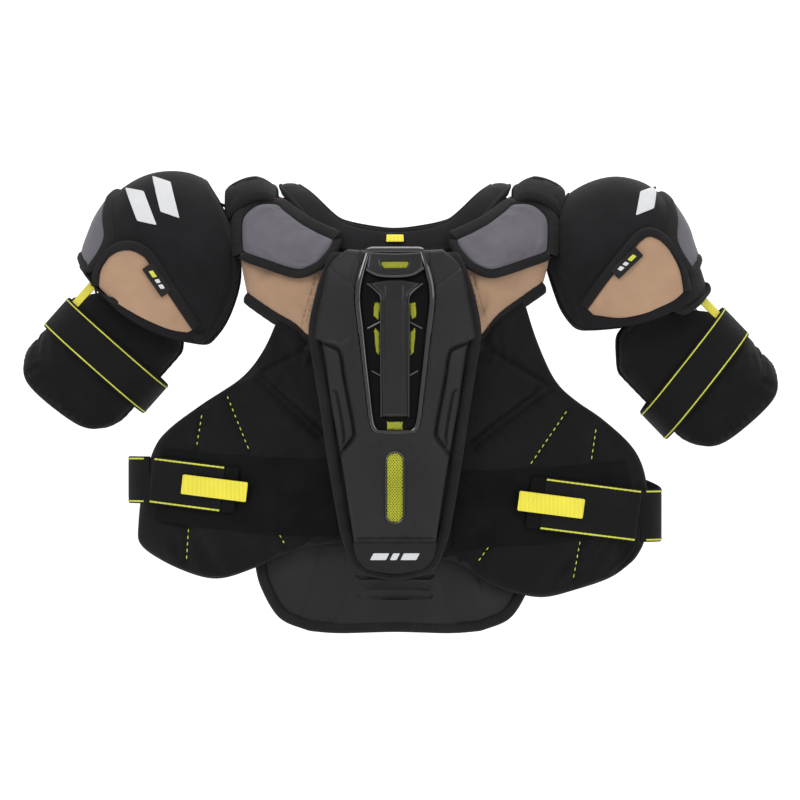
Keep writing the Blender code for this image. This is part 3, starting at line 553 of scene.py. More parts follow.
def binding(name, form, loop, lift, half_h, body=None, width=0.0105, closed=True, step=0.003, shift=0.42):
    """Tape folded over an edge: its section reaches a width in from the loop and a little out."""
    line = evenly(loop, step, closed)
    if closed:
        run = soften(np.roll(line, -1, 0) - np.roll(line, 1, 0), 2)
    else:
        run = np.gradient(line, axis=0)
    inward = left_of(unit(run))
    if closed:
        x, y = line[:, 0], line[:, 1]
        if (x * np.roll(y, -1) - np.roll(x, -1) * y).sum() < 0:
            inward = -inward
    at, side, up = axes_on(form, line + inward * width * shift, inward, lift)
    crimp = 1 + 0.05 * np.sin(np.arange(len(line)) * 2.1)
    return sweep(name, at, side, up, width / 2, half_h * crimp, MAT["binding"], power=3.2, closed=closed,
                 body=body, slot="black_fabric")


THREAD_SECTIONS = 6


def tube_faces(base, rings, sections):
    """Faces of a tube of rings whose vertices start at base, closed at both ends."""
    faces = []
    for i in range(rings - 1):
        a = base + i * sections
        for j in range(sections):
            n = (j + 1) % sections
            faces.append((a + j, a + n, a + sections + n, a + sections + j))
    tail = base + (rings - 1) * sections
    faces.append(tuple(base + j for j in range(sections))[::-1])
    faces.append(tuple(tail + j for j in range(sections)))
    return faces


def dashes(name, form, line, lift, mat, dash=0.0042, gap=0.0030, radius=0.00065):
    """A run of stitches: short raised threads along a line of the form's plane."""
    fine = 0.0007
    pts = evenly(line, fine)
    per, skip = max(3, int(round(dash / fine))), int(round(gap / fine))
    verts, faces = [], []
    ring = np.linspace(0, 2 * pi, THREAD_SECTIONS, endpoint=False)
    start = 0
    lifts = lift(pts)
    aside = left_of(unit(np.gradient(pts, axis=0)))
    while start + per < len(pts):
        base = len(verts)
        marks = np.linspace(start, start + per, 5).round().astype(int)
        for k, i in enumerate(marks):
            size = radius * (0.35, 0.9, 1.0, 0.9, 0.35)[k]
            sink = -radius * (0.9, 0.1, 0.15, 0.1, 0.9)[k]
            p = pts[i] + aside[i] * (size * np.cos(ring))[:, None]
            verts.extend(form(p[:, 0], p[:, 1], lifts[i] + sink + size * np.sin(ring)).tolist())
        faces += tube_faces(base, len(marks), THREAD_SECTIONS)
        start += per + skip
    return make(name, verts, faces, mat, uv=np.zeros((len(verts), 2)), smooth_angle=None)


def merge(name, pieces):
    """Joins pieces of one material into one."""
    bpy.ops.object.select_all(action="DESELECT")
    for piece in pieces:
        piece.select_set(True)
    bpy.context.view_layer.objects.active = pieces[0]
    bpy.ops.object.join()
    pieces[0].name = name
    pieces[0].data.name = name
    return pieces[0]


# ---------------------------------------------------------------- materials
class Graph:
    """A material's nodes, with short ways to add them."""

    def __init__(self, name, planar=True):
        self.mat = bpy.data.materials.new(name)
        self.mat.use_nodes = True
        self.tree = self.mat.node_tree
        self.shader = self.tree.nodes["Principled BSDF"]
        if planar:
            place = self.tree.nodes.new("ShaderNodeUVMap")
            place.uv_map = "cloth"
            self.place = place.outputs["UV"]
        else:
            self.place = self.tree.nodes.new("ShaderNodeTexCoord").outputs["Object"]
        parts = self.tree.nodes.new("ShaderNodeSeparateXYZ")
        self.link(self.place, parts.inputs[0])
        self.u, self.v = parts.outputs[0], parts.outputs[1]

    def link(self, a, b):
        self.tree.links.new(a, b)

    def put(self, socket, value):
        if hasattr(value, "is_output"):
            self.link(value, socket)
        else:
            socket.default_value = value

    def math(self, operation, a, b=0.0):
        node = self.tree.nodes.new("ShaderNodeMath")
        node.operation = operation
        self.put(node.inputs[0], a)
        self.put(node.inputs[1], b)
        return node.outputs[0]

    def wave(self, along, pitch, phase=0.0):
        turn = self.math("ADD", self.math("MULTIPLY", along, 2 * pi / pitch), phase)
        return self.math("ADD", self.math("MULTIPLY", self.math("SINE", turn), 0.5), 0.5)

    def noise(self, scale, detail=3.0, rough=0.55):
        node = self.tree.nodes.new("ShaderNodeTexNoise")
        self.link(self.place, node.inputs["Vector"])
        node.inputs["Scale"].default_value = scale
        node.inputs["Detail"].default_value = detail
        node.inputs["Roughness"].default_value = rough
        return node.outputs["Fac"]

    def range(self, value, low, high, to_low=0.0, to_high=1.0):
        node = self.tree.nodes.new("ShaderNodeMapRange")
        self.put(node.inputs["Value"], value)
        for key, number in zip(("From Min", "From Max", "To Min", "To Max"), (low, high, to_low, to_high)):
            node.inputs[key].default_value = number
        return node.outputs[0]

    def mix(self, factor, a, b):
        node = self.tree.nodes.new("ShaderNodeMix")
        node.data_type = "RGBA"
        self.put(node.inputs["Factor"], factor)
        for key, colour in (("A", a), ("B", b)):
            socket = next(s for s in node.inputs if s.name == key and s.type == "RGBA")
            self.put(socket, colour if hasattr(colour, "is_output") else (*colour, 1.0))
        return next(s for s in node.outputs if s.type == "RGBA")

    def attribute(self, name):
        node = self.tree.nodes.new("ShaderNodeAttribute")
        node.attribute_name = name
        return node.outputs["Fac"]

    def bump(self, height, distance):
        node = self.tree.nodes.new("ShaderNodeBump")
        node.inputs["Distance"].default_value = distance
        node.inputs["Strength"].default_value = 1.0
        self.link(height, node.inputs["Height"])
        self.link(node.outputs[0], self.shader.inputs["Normal"])


def scaled(colour, factor):
    return tuple(min(1.0, c * factor) for c in colour)


def fabric(name, colour, weave, pitch, depth, rough, sheen, mottle=0.25, fuzz=0.3):
    """Woven, knitted or brushed cloth: the weave and its fuzz shape the bump, and darken the colour in the
    weave's low parts as painted shade.
    """
    g = Graph(name)
    fine = g.noise(1.1 / pitch, 4.0, 0.7)
    if weave == "knit":
        bent = g.math("ADD", g.v, g.math("MULTIPLY", g.wave(g.u, pitch), pitch * 0.5))
        weft = g.math("MULTIPLY", g.wave(g.u, pitch, 1.2), g.wave(bent, pitch * 0.8))
    elif weave == "rib":
        weft = g.wave(g.u, pitch)
    elif weave == "plain":
        weft = g.math("MAXIMUM", g.math("MULTIPLY", g.wave(g.u, pitch), g.wave(g.v, pitch * 2)),
                      g.math("MULTIPLY", g.wave(g.u, pitch, pi), g.wave(g.v, pitch * 2, pi)))
    elif weave == "twill":
        weft = g.wave(g.math("ADD", g.u, g.v), pitch)
    else:
        weft = g.noise(0.6 / pitch, 2.0, 0.9)
    height = g.math("ADD", g.math("MULTIPLY", weft, 1 - fuzz), g.math("MULTIPLY", fine, fuzz))
    broad = g.range(g.noise(26.0, 3.0), 0.3, 0.7)
    base = g.mix(broad, scaled(colour, 1 - mottle), scaled(colour, 1 + mottle))
    # Painted shade: the colour goes towards near black where the weave is low.
    g.link(g.mix(g.range(height, 0.15, 0.85), g.mix(0.45, base, (0.002, 0.002, 0.002)), base),
           g.shader.inputs["Base Color"])
    g.link(g.range(fine, 0.2, 0.8, rough - 0.08, min(1.0, rough + 0.06)), g.shader.inputs["Roughness"])
    g.shader.inputs["Sheen Weight"].default_value = sheen
    g.shader.inputs["Sheen Roughness"].default_value = 0.45
    g.shader.inputs["Specular IOR Level"].default_value = 0.12
    g.bump(height, depth)
    return g.mat


def plastic(name, colour, rough, coat=0.0, grain=0.0, grain_pitch=0.0012, planar=True, dots=False,
            shine=0.14):
    """Moulded plastic or skinned foam, with a fine grain where the surface carries one; with dots, the raised
    dots are also coloured lighter as a painted highlight.
    """
    g = Graph(name, planar)
    broad = g.range(g.noise(18.0, 3.0), 0.3, 0.7)
    fine = g.noise(0.8 / grain_pitch, 3.0, 0.6)
    base = g.mix(broad, scaled(colour, 0.86), scaled(colour, 1.14))
    g.link(g.range(fine, 0.2, 0.8, rough * 0.85, min(1.0, rough * 1.15)), g.shader.inputs["Roughness"])
    if dots:
        half = g.math("MULTIPLY", g.wave(g.math("ADD", g.u, g.v), grain_pitch * 1.4),
                      g.wave(g.math("SUBTRACT", g.u, g.v), grain_pitch * 1.4))
        held = g.math("MULTIPLY", g.range(half, 0.2, 0.6), g.attribute("grain"))
        height = g.math("ADD", g.math("MULTIPLY", fine, 0.35), held)
        # Painted highlight: the raised dots are coloured lighter than the foam.
        base = g.mix(held, base, scaled(colour, 1.7))
    else:
        height = fine
    g.link(base, g.shader.inputs["Base Color"])
    g.shader.inputs["Coat Weight"].default_value = coat
    g.shader.inputs["Coat Roughness"].default_value = 0.08
    g.shader.inputs["Specular IOR Level"].default_value = shine
    if grain:
        g.bump(height, grain)
    return g.mat


BLACK = (0.0095, 0.0085, 0.0100)
MAT = {
    "black": fabric("black_fabric", BLACK, "knit", 0.0014, 0.00016, 0.92, sheen=0.04),
    # The black fabric again, made darker as painted shade for the pads that face away from the light: wings,
    # upper chest, bib pad and arm guards.
    "shaded_black": fabric("black_fabric_painted_shade", (0.0050, 0.0045, 0.0052), "knit", 0.0014, 0.00020, 0.92, sheen=0.05),
    "lining": fabric("black_lining", (0.012, 0.012, 0.013), "plain", 0.0012, 0.00014, 0.95, sheen=0.05),
    "binding": fabric("binding_tape", (0.0110, 0.0100, 0.0110), "rib", 0.0016, 0.00035, 0.85, sheen=0.03,
                      fuzz=0.2),
    "elastic": fabric("elastic_webbing", (0.0045, 0.0045, 0.0048), "rib", 0.0018, 0.00025, 0.88,
                      sheen=0.02, fuzz=0.25),
    "pile": fabric("loop_pile", (0.0026, 0.0026, 0.0030), "pile", 0.0012, 0.0009, 1.0, sheen=0.01,
                   mottle=0.5, fuzz=0.7),
    "grey": fabric("grey_fabric", (0.112, 0.105, 0.122), "plain", 0.0013, 0.00018, 0.9, sheen=0.08,
                   mottle=0.10, fuzz=0.45),
    "tan": fabric("tan_fabric", (0.345, 0.222, 0.142), "pile", 0.0010, 0.00022, 0.95, sheen=0.10,
                  mottle=0.07, fuzz=0.6),
    "yellow": fabric("yellow_webbing", (0.720, 0.640, 0.060), "rib", 0.0014, 0.00020, 0.6, sheen=0.05,
                     mottle=0.06, fuzz=0.2),
    "label": fabric("label_cloth", (0.012, 0.012, 0.012), "twill", 0.0010, 0.00010, 0.7, sheen=0.0,
                    mottle=0.1),
    "thread": fabric("lime_thread", (0.560, 0.580, 0.070), "twill", 0.0009, 0.00012, 0.7, sheen=0.1,
                     mottle=0.15),
    "dark_thread": fabric("dark_thread", (0.028, 0.026, 0.028), "twill", 0.0009, 0.00012, 0.8,
                          sheen=0.1, mottle=0.2),
    "tan_thread": fabric("tan_thread", (0.300, 0.190, 0.120), "twill", 0.0009, 0.00012, 0.8, sheen=0.1,
                         mottle=0.2),
    "print": fabric("white_print", (0.560, 0.565, 0.580), "plain", 0.0013, 0.00008, 0.55, sheen=0.0,
                    mottle=0.05, fuzz=0.4),
    "mesh": fabric("lime_mesh", (0.430, 0.450, 0.035), "twill", 0.0008, 0.00010, 0.75, sheen=0.05,
                   mottle=0.12),
    "foam": plastic("moulded_foam", (0.0105, 0.0102, 0.0108), 0.46, grain=0.00022, grain_pitch=0.0012,
                    dots=True),
    "gloss": plastic("gloss_plastic", (0.0022, 0.0022, 0.0026), 0.14, coat=0.60, grain=0.00003, shine=0.45),
    "deep": plastic("deep_plastic", (0.0018, 0.0018, 0.0021), 0.45, grain=0.00004, shine=0.06),
    "satin": plastic("satin_plastic", (0.0085, 0.0085, 0.0092), 0.28, coat=0.20, grain=0.00006,
                     grain_pitch=0.0007),
    "shell": plastic("shell_plastic", (0.020, 0.020, 0.022), 0.42, coat=0.1, grain=0.00010,
                     grain_pitch=0.0010, planar=False),
}


# ---------------------------------------------------------------- chest wings
WING = {
    "right": dict(
        top=[(0.002, -0.136), (0.050, -0.138), (0.086, -0.137), (0.102, -0.122), (0.123, -0.109)],
        outer=[(0.123, -0.109), (0.138, -0.142), (0.161, -0.171), (0.203, -0.199), (0.240, -0.226),
               (0.257, -0.249), (0.270, -0.299), (0.274, -0.343)],
        bottom=[(0.002, -0.343), (0.060, -0.343), (0.108, -0.352), (0.150, -0.371), (0.189, -0.382),
                (0.229, -0.372), (0.264, -0.354), (0.274, -0.343)],
        quilt=[[(0.150, -0.1690), (0.0780, -0.2340)], [(0.1440, -0.1640), (0.0720, -0.2290)],
               [(0.1500, -0.1700), (0.0900, -0.1390)]],
        lime=[[(0.1765, -0.1900), (0.1523, -0.2490)], [(0.2037, -0.2100), (0.2100, -0.2480)],
              [(0.1210, -0.3350), (0.1140, -0.3480)], [(0.2180, -0.3300), (0.2205, -0.3680)]],
    ),
    "left": dict(
        top=[(0.002, -0.136), (0.050, -0.138), (0.086, -0.137), (0.106, -0.112), (0.136, -0.090)],
        outer=[(0.136, -0.090), (0.149, -0.131), (0.168, -0.173), (0.190, -0.195), (0.222, -0.217),
               (0.256, -0.250), (0.268, -0.289), (0.266, -0.340), (0.255, -0.363)],
        bottom=[(0.002, -0.355), (0.060, -0.362), (0.095, -0.383), (0.120, -0.394), (0.155, -0.401),
                (0.192, -0.393), (0.229, -0.381), (0.255, -0.363)],
        quilt=[[(0.0998, -0.1418), (0.1600, -0.1785)], [(0.0780, -0.2380), (0.1540, -0.1790)],
               [(0.0830, -0.2440), (0.1620, -0.1850)]],
        lime=[[(0.1806, -0.2060), (0.1420, -0.2620)], [(0.2121, -0.2250), (0.2069, -0.2590)],
              [(0.0980, -0.3480), (0.0850, -0.3660)], [(0.1950, -0.3430), (0.1869, -0.3870)]],
    ),
}


def wings():
    for side, setting in SIDES.items():
        sign, shape = setting["sign"], WING[side]
        inner = [shape["top"][0], shape["bottom"][0]]
        grid = patch([shape["top"], shape["bottom"], inner, shape["outer"]], 0.0028)
        grid[..., 0] *= sign
        seams = sewn([mirror(line, sign) for line in shape["quilt"]], 0.0030, 0.0042)
        seams += sewn([mirror(line, sign) for line in shape["lime"]])
        name = f"wing_{side}"
        # Painted shade: the wing takes the darkened copy of the black fabric.
        pad(name, chest, grid, WING_LIFT, WING_T, MAT["shaded_black"], "chest", "black_fabric",
            [f"chest_panel_{side}"], rim=(0.010, 0.42), seams=seams, puff=0.0030, slack=0.04,
            uneven=0.0006, seed=3 + sign)
        binding(f"wing_binding_{side}", chest, border_of(grid), WING_LIFT, 0.0044, "chest")
        rows = []
        for number, line in enumerate(shape["lime"]):
            pts = mirror(evenly(line, 0.002), sign)
            rows.append(dashes(f"wing_stitches_{side}_{number}", chest, pts,
                               lambda p: face_lift(name, p) + 0.0005, MAT["thread"]))
        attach(merge(f"wing_stitches_{side}", rows), "chest")


def chest_middle():
    grid = patch(between(whole([(0.0, -0.052), (0.062, -0.044)]), whole([(0.084, -0.132)])), 0.004)
    # Painted shade: the darkened copy of the black fabric.
    pad("upper_chest_foam", chest, grid, WING_LIFT, WING_T, MAT["shaded_black"], "chest", "black_fabric",
        ["upper_chest_pad"], rim=(0.010, 0.4), puff=0.001)


def loop_bands():
    for side, setting in SIDES.items():
        sign, slope = setting["sign"], 0.0 if side == "right" else 0.012
        top = [(0.060, -0.256 - slope), (0.150, -0.254 - slope), (0.246, -0.247 - slope)]
        bottom = [(0.060, -0.337 - slope), (0.150, -0.334 - slope), (0.256, -0.322 - slope)]
        outer = [top[-1], (0.253, -0.288 - slope), bottom[-1]]
        grid = patch([top, bottom, [top[0], bottom[0]], outer], 0.0022, 3)
        grid[..., 0] *= sign
        pad(f"loop_strip_{side}", chest, grid, BAND_LIFT - 0.0002, BAND_T, MAT["pile"], "chest",
            "loop_pile", [f"loop_band_{side}"], rim=(0.003, 0.5), uneven=0.0005, seed=21 + sign,
            extra=lambda g: 0.00035 * ripple(g, 0.0035, 77))


# ---------------------------------------------------------------- shoulder yokes and collar
YOKE_LOWER = {
    "right": [(0.090, -0.131), (0.104, -0.117), (0.126, -0.104), (0.155, -0.084)],
    "left": [(0.089, -0.131), (0.108, -0.107), (0.136, -0.086), (0.155, -0.073)],
}


def bent(points, lift, sign=1, rear=False):
    """Points given by x and height, as x and length along the bend from the shoulder's top."""
    return [(sign * x, (1 if rear else -1) * from_top(z, lift)) for x, z in points]


def yokes():
    for side, setting in SIDES.items():
        sign = setting["sign"]
        low = bent(YOKE_LOWER[side], YOKE_LIFT)
        inner = [(0.1200, 0.0)] + bent([(0.117, 0.0155), (0.102, 0.001), (0.082, -0.026), (0.070, -0.045),
                                        (0.077, -0.085)], YOKE_LIFT) + [low[0]]
        outer = [(0.1600, 0.0)] + bent([(0.160, 0.0155), (0.164, -0.030)], YOKE_LIFT) + [low[-1]]
        top = [inner[0], outer[0]]
        grid = patch([mirror(s, sign) for s in (top, low, inner, outer)], 0.0026, 3)
        seam = bent([(0.0760, -0.0500), (0.0840, -0.0850), (0.0960, -0.1230)], YOKE_LIFT, sign)
        other = bent([(0.0960, -0.0400), (0.1090, -0.0800), (0.1210, -0.1080)], YOKE_LIFT, sign)
        name = f"yoke_front_{side}"
        obj = pad(name, over, grid, YOKE_LIFT, YOKE_T, MAT["tan"], None, "tan_fabric",
                  [f"yoke_{side}"], rim=(0.009, 0.45), seams=sewn([seam], 0.0014, 0.0016, 0.004),
                  puff=0.0020, slack=0.05, uneven=0.0010, seed=31 + sign,
                  extra=lambda g: -0.0006 * bump(near(g, other), 0.005))
        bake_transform(obj)
        edge = np.vstack([grid[-1, ::-1], grid[::-1, 0][1:]])
        if sign < 0:
            edge = edge[::-1]
        tape = binding(f"yoke_binding_{side}", over, edge, YOKE_LIFT, 0.0050, width=0.0090, closed=False)
        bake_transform(tape)
        rows = []
        for number, aside in enumerate((-0.0022, 0.0022)):
            line = [(x + aside, w) for x, w in seam]
            rows.append(dashes(f"yoke_stitches_{side}_{number}", over, evenly(line, 0.002),
                               lambda p: face_lift(name, p) + 0.0002, MAT["tan_thread"], dash=0.0032,
                               gap=0.0018, radius=0.00045))
        both = merge(f"yoke_stitches_{side}", rows)
        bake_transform(both)
        low = bent([(0.070, -0.0485), (0.122, -0.056)], YOKE_LIFT, 1, True)
        inner = [(0.1200, 0.0)] + bent([(0.117, 0.0155), (0.102, 0.001), (0.082, -0.026)], YOKE_LIFT, 1,
                                       True) + [low[0]]
        outer = [(0.1540, 0.0)] + bent([(0.152, 0.0155), (0.148, -0.020)], YOKE_LIFT, 1, True) + [low[-1]]
        top = [inner[0], outer[0]]
        grid = patch([mirror(s, sign) for s in (top, low, inner, outer)], 0.003, 3)
        obj = pad(f"yoke_rear_{side}", over, grid, YOKE_LIFT, YOKE_T, MAT["black"], None, "black_fabric",
                  [f"back_yoke_{side}"], rim=(0.009, 0.45), puff=0.0018, slack=0.05, uneven=0.0008,
                  seed=35 + sign)
        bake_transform(obj)
        edge = np.vstack([grid[:, -1], grid[-1, ::-1][1:], grid[::-1, 0][1:]])
        if sign > 0:
            edge = edge[::-1]
        tape = binding(f"yoke_rear_binding_{side}", over, edge, YOKE_LIFT, 0.0050, width=0.0090,
                       closed=False)
        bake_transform(tape)


COLLAR_FRONT = [((0.0, -0.0210), (0.0, -0.0470)), ((0.034, -0.0175), (0.041, -0.0440)),
                ((0.054, -0.0110), (0.064, -0.0400)), ((0.071, -0.0030), (0.083, -0.0240)),
                ((0.086, 0.0060), (0.1045, -0.0045)), ((0.098, 0.0135), (0.1190, 0.0095))]
COLLAR_REAR = [((0.098, 0.0135), (0.1190, 0.0095)), ((0.084, 0.0084), (0.096, 0.0030)),
               ((0.068, -0.0010), (0.079, -0.0120)), ((0.047, -0.0080), (0.056, -0.0250)),
               ((0.021, -0.0125), (0.028, -0.0340)), ((0.0, -0.0145), (0.0, -0.0360))]


def collar_ring():
    """The inner and outer edges of the band round the neck, as closed lines over both halves."""
    def half(pairs, k, rear):
        return bent([p[k] for p in pairs], COLLAR_LIFT, 1, rear)
    edges = []
    for k, at_top in ((0, 0.1015), (1, 0.1225)):
        left_half = half(COLLAR_FRONT, k, False) + [(at_top, 0.0)] + half(COLLAR_REAR, k, True)
        loop = np.array(left_half + mirror(left_half[::-1], -1)[1:-1])
        fine = spline(np.vstack([loop[-3:], loop, loop[:4]]), np.linspace(0, 1, 1800))
        first = np.argmin(((fine[:900] - loop[0]) ** 2).sum(1))
        last = 900 + np.argmin(((fine[900:] - loop[0]) ** 2).sum(1))
        fine = evenly(fine[first:last], 0.0005, closed=True)
        edges.append(fine[np.linspace(0, len(fine), 180, endpoint=False).astype(int)])
    return edges


def collar():
    inner, outer = collar_ring()
    middle = soften((inner + outer) / 2, 3)
    aside = left_of(unit(np.roll(middle, -1, 0) - np.roll(middle, 1, 0)))
    half = np.abs(((outer - inner) * aside).sum(1)) / 2
    half = soften(half[:, None], 6)[:, 0]
    lift = COLLAR_LIFT + 0.0008 + 0.0140 * smooth(np.abs(middle[:, 0]), 0.060, 0.112)
    at, side, up = axes_on(over, middle, aside, lift)
    wave = 1 + 0.05 * np.sin(np.arange(len(middle)) * 0.9) * np.sin(np.arange(len(middle)) * 0.23)
    band = sweep("collar_band", at, side, up, half, 0.0060 * wave, MAT["black"], power=2.5, sections=28,
                 slot="black_fabric", stands_for=["collar_front", "collar_back"])
    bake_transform(band)
    sense = 1.0 if ((outer[0] - inner[0]) * aside[0]).sum() > 0 else -1.0
    for name, share, size in (("collar_piping_inner", -0.93, 0.0020), ("collar_piping_outer", 0.93, 0.0024)):
        place = middle + aside * (half * share * sense)[:, None]
        at, side, up = axes_on(over, place, aside, lift + 0.0030)
        pipe = sweep(name, at, side, up, size, size, MAT["binding"], power=2.0, slot="black_fabric")
        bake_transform(pipe)
    top, low = [(-0.0088, -0.0215), (0.0088, -0.0215)], [(-0.0092, -0.0290), (0.0092, -0.0290)]
    grid = patch(between(unrolled(top, COLLAR_LIFT), unrolled(low, COLLAR_LIFT)), 0.0008, 1)
    pad("collar_loop", chest, grid, COLLAR_LIFT + 0.0076, 0.0014, MAT["yellow"], "chest",
        "yellow_webbing", ["collar_tag"], rim=(0.001, 0.5), uneven=0.0)


# ---------------------------------------------------------------- sternum guard
# Edges and relief lines of its left half, by x and height; the right half mirrors them.
BIB_EDGE = [(0.067, -0.040), (0.080, -0.075), (0.0895, -0.120), (0.0860, -0.150), (0.077, -0.205),
            (0.069, -0.260), (0.057, -0.330)]
PLATE_EDGE = [(0.0500, -0.0370), (0.0685, -0.0540), (0.0770, -0.0880), (0.0840, -0.1220),
              (0.0830, -0.1310), (0.0752, -0.1400), (0.0660, -0.2000), (0.0560, -0.2560), (0.0435, -0.3360)]
RECESS = [(0.0300, -0.0380), (0.0415, -0.0810), (0.0380, -0.1240), (0.0315, -0.1800), (0.0262, -0.2190),
          (0.0195, -0.2285)]
GROOVE = [(0.0792, -0.1330), (0.0600, -0.1408), (0.0555, -0.1490), (0.0515, -0.1750), (0.0428, -0.2220),
          (0.0440, -0.2350), (0.0590, -0.2520)]
GROOVE_2 = [(0.0656, -0.1840), (0.0606, -0.1880), (0.0530, -0.2330), (0.0575, -0.2440)]
FACET_UP = [(0.0410, -0.0780), (0.0660, -0.0590)]
FACET_LOW = [(0.0805, -0.1290), (0.0575, -0.1345), (0.0392, -0.1245)]
FACET_CENTRE = [(0.0370, -0.2330), (0.0215, -0.2930)]
CHANNEL = [(0.0151, -0.2330), (0.0151, -0.2440)]
SLOT_TOP, SLOT_LOW, SLOT_HALF = -0.2450, -0.3255, 0.0124
FACE = PLATE_LIFT + PLATE_T / 2
FLOOR_LIFT = FACE - 0.0065


def unrolled(points, lift):
    """Points by x and height, as x and length along the bend."""
    pts = np.asarray(points, float)
    return np.stack([pts[:, 0], unroll(pts[:, 1], lift)], -1)


def dense(points, step=0.002):
    """The smooth curve through the points, with points a step apart."""
    return evenly(spline(points, np.linspace(0, 1, 200)), step)


def capsule(x, z, top, low, half):
    """Distance outside a slot with round ends."""
    reach = np.clip(z, low + half, top - half)
    return np.hypot(x, z - reach) - half


def bib():
    edge = BIB_EDGE
    top = whole([(0.0, -0.044), edge[0]])
    low = whole([(0.0, -0.381), (0.038, -0.372), (0.050, -0.352), edge[-1]])
    grid = patch(both_ways(top, low, edge, CARRIER_LIFT), 0.0030, 5)
    # Painted shade: the darkened copy of the black fabric.
    pad("bib_pad", chest, grid, CARRIER_LIFT, CARRIER_T, MAT["shaded_black"], "sternum", "black_fabric",
        ["sternum_carrier"], rim=(0.007, 0.6), puff=0.0010, uneven=0.0003)
    binding("bib_binding", chest, border_of(grid), CARRIER_LIFT + 0.0008, 0.0056, "sternum", width=0.0130)


def plate_height(grid):
    """The plate's relief: raised facets, the sunk middle, grooves and the slot, in metres."""
    x, z = grid[..., 0], grid[..., 1]
    ax = np.abs(x)
    half = np.stack([ax, z], -1)
    sunk = near(half, dense(RECESS))
    deep = inside(half, np.vstack([dense(RECESS), [(0.0, -0.2285), (0.0, -0.0380)]]))
    signed = np.where(deep, sunk, -sunk)
    rise = -0.0015 - 0.0050 * smooth(signed, -0.0005, 0.0025)
    rise = np.where(signed < 0, 0.0, rise)
    lip = 0.0016 * bump(np.minimum(signed, 0) + 0.004, 0.0035) * (signed < 0)
    rise = rise + lip
    fall = 0.0030 * smooth(ax, 0.020, 0.085)
    line = near(half, dense(FACET_UP))
    x0, z0 = FACET_UP[0]
    above = z - (z0 + (ax - x0) * 0.76)
    upper = -0.0022 * smooth(above, -0.0015, 0.0015) * (ax > 0.036)
    low_line = np.interp(ax, *np.array(FACET_LOW[::-1]).T)
    shelf = 0.0014 * smooth(low_line - z, -0.0010, 0.0016)
    groove = near(half, dense(GROOVE))
    beyond = inside(half, np.vstack([dense(GROOVE), [(0.10, -0.2520), (0.10, -0.1330)]]))
    side_panel = np.where(beyond, -0.0022, 0.0)
    cut = 0.0042 * bump(groove, 0.0021) + 0.0026 * bump(near(half, dense(GROOVE_2)), 0.0014)
    lines = (0.0008 * bump(line, 0.0011) + 0.0008 * bump(near(half, dense(FACET_LOW)), 0.0011)
             + 0.0007 * bump(near(half, dense(FACET_CENTRE)), 0.0012)
             + 0.0009 * bump(near(half, dense(CHANNEL)), 0.0011))
    ridge = 0.0012 * smooth(-z, 0.233, 0.240) * (1 - smooth(ax, 0.0125, 0.0160)) * (z > -0.330)
    slot = capsule(x, z, SLOT_TOP, SLOT_LOW, SLOT_HALF)
    hollow = -0.0048 * (1 - smooth(slot, -0.0040, -0.0005)) + 0.0012 * bump(slot + 0.0010, 0.0016)
    end = -0.0040 * smooth(-z, 0.3365, 0.3385)
    rise = rise - fall + upper + shelf + side_panel - cut - lines + ridge + end
    return np.where(slot < 0.003, rise + hollow, rise)


def grain_mask(grid):
    """Where the moulded skin carries its dotted texture and the dots' painted highlight: 1 in the middle, a
    quarter at the sides, and 0 below the plate's end.
    """
    x, z = np.abs(grid[..., 0]), grid[..., 1]
    middle = (z > -0.300) & (x < np.interp(z, [-0.300, -0.230, -0.135, -0.080], [0.020, 0.037, 0.060, 0.080]))
    return np.where(middle, 1.0, 0.25) * (z > -0.335)


def paint_grain(obj, values):
    """Stores how strongly the dotted texture and its painted highlight show at each vertex."""
    layer = obj.data.attributes.new("grain", "FLOAT", "POINT")
    layer.data.foreach_set("value", np.asarray(values, np.float32).ravel())


def plate():
    edge = PLATE_EDGE
    top = whole([(0.0, -0.0400), (0.0300, -0.0385), edge[0]])
    low = whole([(0.0, -0.3690), (0.030, -0.3655), (0.040, -0.3560), edge[-1]])
    grid = patch(both_ways(top, low, edge, PLATE_LIFT), 0.00115, 3)
    obj = pad("bib_plate", chest, grid, PLATE_LIFT, PLATE_T, MAT["foam"], "sternum", "moulded_foam",
              ["sternum_plate"], rim=(0.0055, 0.25), uneven=0.0, extra=plate_height)
    mask = grain_mask(grid).ravel()
    paint_grain(obj, np.concatenate([mask, mask * 0]))
    net("slot_net", chest, lambda x, z: capsule(x, z, SLOT_TOP - 0.004, SLOT_LOW + 0.004, 0.0084),
        (0.0084, SLOT_LOW + 0.004, SLOT_TOP - 0.004), FACE - 0.0006, 0.0022, "sternum_slot_mesh")
    turn = np.linspace(0, 2 * pi, 80, endpoint=False)
    reach = np.where(np.sin(turn) > 0, SLOT_TOP - SLOT_HALF, SLOT_LOW + SLOT_HALF)
    ring = np.stack([0.0098 * np.cos(turn), reach + 0.0098 * np.sin(turn)], -1)
    flat_loop("slot_rim", ring, FACE - 0.0004, 0.0017, 0.0016, MAT["gloss"], body="sternum",
              slot="gloss_plastic")


